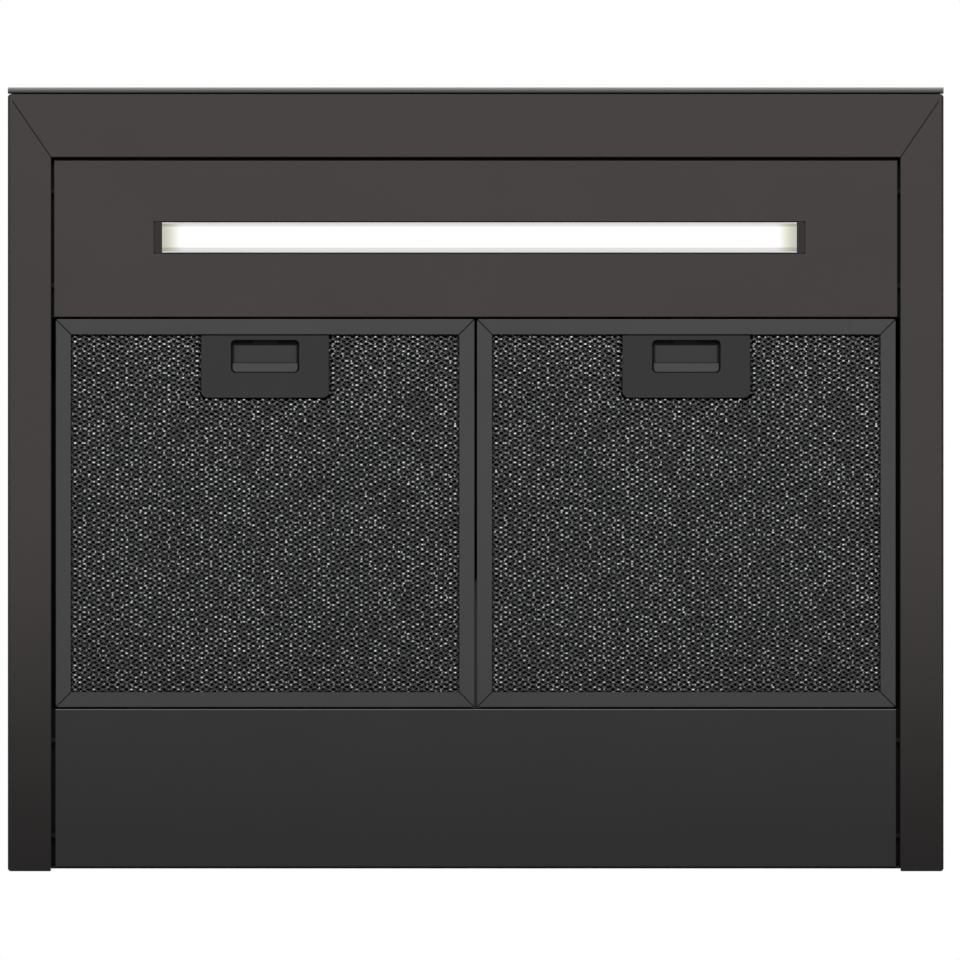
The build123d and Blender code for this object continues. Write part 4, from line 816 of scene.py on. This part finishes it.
coated_finishes = {
    "black_steel": dict(colour=steel_colour, edge=steel_edge, specular=steel_specular,
                        wear_and_highlight=steel_wear_and_highlight, dirt=steel_dust, **steel_grain),
    "latch_plastic": dict(colour=latch_colour, edge=latch_edge, roughness=0.50, grain=0.35,
                          depth=0.010, specular=0.10, radius=latch_edge_radius),
    "end_cap_plastic": dict(colour=(0.016, 0.014, 0.013), edge=(0.03, 0.03, 0.03), roughness=0.42,
                            grain=0.4, depth=0.006, specular=0.30, radius=0.5),
    "bonding_foam": dict(colour=(0.02, 0.02, 0.02), edge=(0.03, 0.03, 0.03), roughness=0.85,
                         grain=0.4, depth=0.05, specular=0.2, wear_and_highlight=0.1),
    "board_green": dict(colour=(0.012, 0.085, 0.035), edge=(0.35, 0.30, 0.14), roughness=0.35,
                        grain=1.5, depth=0.004, specular=0.5, wear_and_highlight=0.5),
    "housing_plastic": dict(colour=(0.035, 0.035, 0.037), edge=(0.07, 0.07, 0.07), roughness=0.55,
                            grain=0.5, depth=0.02, specular=0.4),
    "screw_black": dict(colour=(0.007, 0.007, 0.007), edge=(0.02, 0.02, 0.02), roughness=0.45,
                        grain=0.4, depth=0.006, specular=0.10, radius=0.4),
    "blower_plastic": dict(colour=(0.085, 0.087, 0.092), edge=(0.14, 0.14, 0.145), roughness=0.50,
                           grain=0.6, depth=0.015, specular=0.4),
    "capacitor_case": dict(colour=(0.62, 0.62, 0.60), edge=(0.70, 0.70, 0.68), roughness=0.40,
                           grain=0.8, depth=0.006, specular=0.5),
    "gland_plastic": dict(colour=(0.025, 0.025, 0.026), edge=(0.06, 0.06, 0.06), roughness=0.45,
                          grain=0.5, depth=0.012, specular=0.4),
    "lead_jacket": dict(colour=(0.50, 0.50, 0.51), edge=(0.55, 0.55, 0.56), roughness=0.55,
                        grain=0.9, depth=0.010, specular=0.4, wear_and_highlight=0.1),
    # Painted shade: the pack is black, so the openings between the strands look dark
    "pack_backing": dict(colour=shade_black, edge=shade_black, roughness=0.90, grain=0.8,
                         depth=0.004, specular=0.0, wear_and_highlight=0.0, dirt=0.0),
}
metal_finishes = {
    "lamp_aluminium": dict(colour=(0.72, 0.72, 0.71), roughness=0.35, stretch=along_x),
    "zinc_steel": dict(colour=(0.38, 0.39, 0.40), roughness=0.40, stretch=along_z),
    "screw_steel": dict(colour=(0.47, 0.47, 0.48), roughness=0.30, stretch=no_stretch),
    "motor_steel": dict(colour=(0.40, 0.40, 0.41), roughness=0.32, stretch=along_x),
}
materials = {
    "filter_black": frame_material(),
    "filter_mesh": filter_mesh_material(),
    "dark_glass": dark_glass_material(),
    "lamp_cover": lamp_cover_material(),
}
for finish_name, finish in coated_finishes.items():
    materials[finish_name] = coated_material(finish_name, **finish)
for finish_name, finish in metal_finishes.items():
    materials[finish_name] = metal_material(finish_name, **finish)

# Nodes whose own shape guides their material; all others follow their material slot
node_materials = {
    "canopy_shell": canopy_steel_material(),
    "canopy_back": back_steel_material(),
    "light_panel": panel_steel_material("light_panel", steel_colour, shade_and_seam_dark),
    # The rear panel's colour is its paint darkened as painted shade
    "rear_panel": panel_steel_material("rear_panel", rear_panel_shaded_colour, rear_fold_highlight),
}
latch_housing = latch_housing_material()
latch_slider = latch_slider_material()
for side in sides:
    node_materials[f"latch_housing_{side}"] = latch_housing
    node_materials[f"latch_slider_{side}"] = latch_slider

slot_of = {row["node"]: row["material_slot"] for row in frame["record"]["subparts"]}
for node_name, node_object in frame["nodes"].items():
    node_object.data.materials.clear()
    node_object.data.materials.append(
        node_materials.get(node_name, materials[slot_of[node_name]]))


# Geometry node helpers

def geometry_tree(name, inputs):
    """An empty tree with named inputs, each a name and a kind, and a geometry output."""
    tree = bpy.data.node_groups.new(name, "GeometryNodeTree")
    sockets = tree.interface
    sockets.new_socket("Geometry", in_out="INPUT", socket_type="NodeSocketGeometry")
    for socket, kind in inputs:
        sockets.new_socket(socket, in_out="INPUT", socket_type=f"NodeSocket{kind}")
    sockets.new_socket("Geometry", in_out="OUTPUT", socket_type="NodeSocketGeometry")
    given = tree.nodes.new("NodeGroupInput").outputs
    return tree, given, tree.nodes.new("NodeGroupOutput").inputs[0]


def geometry_node(tree, kind, inputs=None, **settings):
    """The first output of a geometry node."""
    return add(tree, f"GeometryNode{kind}", inputs, **settings).outputs[0]


def made_by(tree, name, values):
    """Run a tree and keep the result as one plain mesh."""
    piece = bpy.data.objects.new(name, bpy.data.meshes.new(name))
    bpy.context.scene.collection.objects.link(piece)
    modifier = piece.modifiers.new("maker", "NODES")
    modifier.node_group = tree
    for item in tree.interface.items_tree:
        if item.item_type == "SOCKET" and item.in_out == "INPUT" and item.name in values:
            modifier[item.identifier] = values[item.name]
    graph = bpy.context.evaluated_depsgraph_get()
    result = bpy.data.meshes.new_from_object(piece.evaluated_get(graph))
    piece.modifiers.clear()
    piece.data = result
    result.name = name
    return piece


# Expanded metal: rows of long diamond openings, each joint a tilted bond with two strands

strand_thickness = 0.30  # millimetres
bond_length = 1.35  # millimetres
bond_tilt = math.radians(24.0)
bond_jitter = math.radians(16.0)
turn_jitter = 0.2  # of the jitter, about the upright axis
bond_width = 1.7  # of a strand's width
strand_flatness = 0.67  # radius of a three-sided bar to the sheet's thickness
strand_roundness = 0.58  # the same to a strand's width
strand_overlap = 0.55  # of a bond's length
strand_lean = 0.4  # of a bond's tilt
grid_share = 0.36  # of width and depth together: half a grid that covers the sheet at any turn


def sheet_points(tree, given):
    """Places of the bonds: a staggered grid, turned, trimmed and notched for a latch."""
    span = math_node(tree, "ADD", given["Width"], given["Depth"])
    half_span = product(tree, span, grid_share)
    columns, rows = (math_node(tree, "CEIL", math_node(tree, "DIVIDE", half_span, given[pitch]))
                     for pitch in ("Long way", "Row pitch"))
    size_y = product(tree, rows, 2.0, given["Row pitch"])
    grid = geometry_node(tree, "MeshGrid", {
        "Size X": product(tree, columns, 2.0, given["Long way"]),
        "Size Y": size_y,
        "Vertices X": math_node(tree, "MULTIPLY_ADD", columns, 2.0, 1.0),
        "Vertices Y": math_node(tree, "MULTIPLY_ADD", rows, 2.0, 1.0),
    })
    points = geometry_node(tree, "MeshToPoints", {"Mesh": grid})
    place = geometry_node(tree, "InputPosition")

    from_first = math_node(tree, "MULTIPLY_ADD", size_y, 0.5, parts_of(tree, place)["Y"])
    row = math_node(tree, "ROUND", math_node(tree, "DIVIDE", from_first, given["Row pitch"]))
    odd = math_node(tree, "FLOORED_MODULO", row, 2.0)
    stagger = product(tree, difference(tree, odd, 0.5), product(tree, given["Long way"], 0.5))
    points = geometry_node(
        tree, "SetPosition", {"Geometry": points, "Offset": combined(tree, x=stagger)})
    turned = add(tree, "ShaderNodeVectorRotate", {"Vector": place, "Angle": given["Turn"]},
                 rotation_type="Z_AXIS").outputs[0]
    points = geometry_node(tree, "SetPosition", {"Geometry": points, "Position": turned})

    across, along, _ = parts_of(tree, place)
    outside = [math_node(tree, "GREATER_THAN", size_of(tree, part), product(tree, size, 0.5))
               for part, size in ((across, given["Width"]), (along, given["Depth"]))]
    notch_end = math_node(tree, "MULTIPLY_ADD", given["Depth"], -0.5, given["Notch depth"])
    in_notch = product(
        tree,
        math_node(tree, "LESS_THAN", size_of(tree, across), given["Notch half width"]),
        math_node(tree, "LESS_THAN", along, notch_end),
    )
    gone = greatest(tree, *outside, in_notch)
    return geometry_node(
        tree, "DeleteGeometry", {"Geometry": points, "Selection": gone}, domain="POINT")


def bond_with_strands(tree, given):
    """One bond and the two strands that lead to the next row, marked apart by an attribute."""
    half_way = product(tree, given["Long way"], 0.5)
    way = combined(tree, x=half_way, y=given["Row pitch"])
    run = vector_math(tree, "LENGTH", {0: way})["Value"]
    slope = math_node(tree, "ARCTAN2", given["Row pitch"], half_way)
    bar = geometry_node(tree, "MeshCylinder", {
        "Vertices": 3, "Side Segments": 1, "Radius": 1.0, "Depth": 1.0}, fill_type="NGON")
    bar = geometry_node(tree, "Transform", {
        "Geometry": bar,
        "Scale": combined(
            tree,
            product(tree, given["Thickness"], strand_flatness),
            product(tree, given["Strand width"], strand_roundness),
            math_node(tree, "MULTIPLY_ADD", given["Bond length"], -strand_overlap, run),
        ),
        "Rotation": (0.0, math.pi / 2, 0.0),
    })
    bond = geometry_node(tree, "MeshCube", {
        "Size": combined(tree, given["Bond length"],
                         product(tree, given["Strand width"], bond_width), given["Thickness"])})
    unit = [(bond, 1.0)]
    for direction in (-1.0, 1.0):
        strand = geometry_node(tree, "Transform", {
            "Geometry": bar,
            "Translation": combined(tree, product(tree, half_way, 0.5 * direction),
                                    product(tree, given["Row pitch"], 0.5)),
            "Rotation": combined(tree, product(tree, given["Tilt"], strand_lean * direction),
                                 z=product(tree, slope, direction)),
        })
        unit.append((strand, 0.0))
    joined = add(tree, "GeometryNodeJoinGeometry")
    for part, is_bond in unit:
        marked = geometry_node(
            tree, "StoreNamedAttribute", {"Geometry": part, "Name": "bond", "Value": is_bond},
            data_type="FLOAT", domain="POINT")
        tree.links.new(marked, joined.inputs[0])
    return joined.outputs[0]


def build_expanded_metal():
    """Expanded sheet: bonds with their strands on a grid, each leaning by chance, with a chance
    painted glint and the layer's painted shade stored on it.
    """
    tree, given, result = geometry_tree(
        "expanded metal",
        [("Width", "Float"), ("Depth", "Float"), ("Long way", "Float"), ("Row pitch", "Float"),
         ("Turn", "Float"), ("Strand width", "Float"), ("Thickness", "Float"),
         ("Bond length", "Float"), ("Tilt", "Float"), ("Jitter", "Float"), ("Seed", "Int"),
         ("Notch half width", "Float"), ("Notch depth", "Float"), ("Layer shade", "Float"),
         ("Place", "Vector"), ("Material", "Material")],
    )
    points = sheet_points(tree, given)
    unit = bond_with_strands(tree, given)
    jitter = combined(tree, given["Jitter"], given["Jitter"],
                      product(tree, given["Jitter"], turn_jitter))
    chance = add(tree, "FunctionNodeRandomValue", {
        "Min": scaled(tree, jitter, -1.0), "Max": jitter, "Seed": given["Seed"],
    }, data_type="FLOAT_VECTOR").outputs[0]
    lean = combined(tree, x=given["Tilt"], z=given["Turn"])
    rotation = vector_math(tree, "ADD", {0: chance, 1: lean})[0]
    whole = geometry_node(
        tree, "InstanceOnPoints", {"Points": points, "Instance": unit, "Rotation": rotation})
    glint_seed = math_node(tree, "ADD", given["Seed"], 1.0)
    # 2, 3 and output 1 are the node's sockets for plain numbers
    glint = add(tree, "FunctionNodeRandomValue", {2: 0.0, 3: 1.0, "Seed": glint_seed},
                data_type="FLOAT").outputs[1]
    for name, value in (("glint", glint), ("layer_shade", given["Layer shade"])):
        whole = geometry_node(
            tree, "StoreNamedAttribute", {"Geometry": whole, "Name": name, "Value": value},
            data_type="FLOAT", domain="INSTANCE")
    whole = geometry_node(tree, "RealizeInstances", {"Geometry": whole})
    whole = geometry_node(tree, "Transform", {"Geometry": whole, "Translation": given["Place"]})
    whole = geometry_node(tree, "SetMaterial", {"Geometry": whole, "Material": given["Material"]})
    tree.links.new(whole, result)
    return tree


# Filters: two visible layers of expanded metal before a pack that is black as painted shade. Sizes
# in millimetres.

expanded_metal = build_expanded_metal()
mesh_layers = (
    # name, long way, row pitch, turn, strand width, rise above the pack's underside, layer shade
    # (painted shade, darker on the deeper layer), seed
    ("front", 6.0, 1.545, 0.0, 0.46, 0.42, 1.0, 3),
    ("second", 6.0, 1.81, math.radians(93.6), 0.50, 1.12, 0.55, 7),
)
layer_inset = 2.6
merge_distance = 0.001
pack_rim_height = 2.5
pack_lift = 1.55
pack_squeeze = 0.25


def expanded_layers(side):
    """The visible layers of expanded metal in one filter."""
    node = f"filter_mesh_{side}"
    corner, far_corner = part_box(node)
    latch_low, latch_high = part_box(f"latch_housing_{side}")
    centre = (corner + far_corner) / 2
    return [
        made_by(expanded_metal, f"{node}_{name}", {
            "Width": far_corner.x - corner.x - 2 * layer_inset * mm,
            "Depth": far_corner.y - corner.y - 2 * layer_inset * mm,
            "Long way": long_way * mm,
            "Row pitch": pitch * mm,
            "Turn": turn,
            "Strand width": strand * mm,
            "Thickness": strand_thickness * mm,
            "Bond length": bond_length * mm,
            "Tilt": bond_tilt,
            "Jitter": bond_jitter,
            "Seed": seed,
            "Layer shade": layer_shade,
            "Notch half width": (latch_high.x - latch_low.x) / 2,
            "Notch depth": latch_high.y - corner.y - layer_inset * mm,
            "Place": (centre.x, centre.y, corner.z + rise * mm),
            "Material": materials["filter_mesh"],
        })
        for name, long_way, pitch, turn, strand, rise, layer_shade, seed in mesh_layers
    ]


def black_pack(side):
    """The pack behind the layers, black as painted shade, its underside lifted to leave them room.
    """
    node = f"filter_mesh_{side}"
    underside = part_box(node)[0].z
    mesh = frame["nodes"][node].data.copy()
    mesh.name = f"{node}_pack"
    mesh.materials.clear()
    mesh.materials.append(materials["pack_backing"])
    shape = bmesh.new()
    shape.from_mesh(mesh)
    bmesh.ops.remove_doubles(shape, verts=shape.verts, dist=merge_distance * mm)
    for vertex in shape.verts:
        above = vertex.co.z - underside
        if above < pack_rim_height * mm:
            vertex.co.z = underside + pack_lift * mm + above * pack_squeeze
    shape.to_mesh(mesh)
    shape.free()
    pack = bpy.data.objects.new(f"{node}_pack", mesh)
    bpy.context.scene.collection.objects.link(pack)
    return pack


for side in sides:
    pieces = [*expanded_layers(side), black_pack(side)]
    for piece in pieces:
        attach(piece, f"filter_{side}")
    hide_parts(f"filter_mesh_{side}")
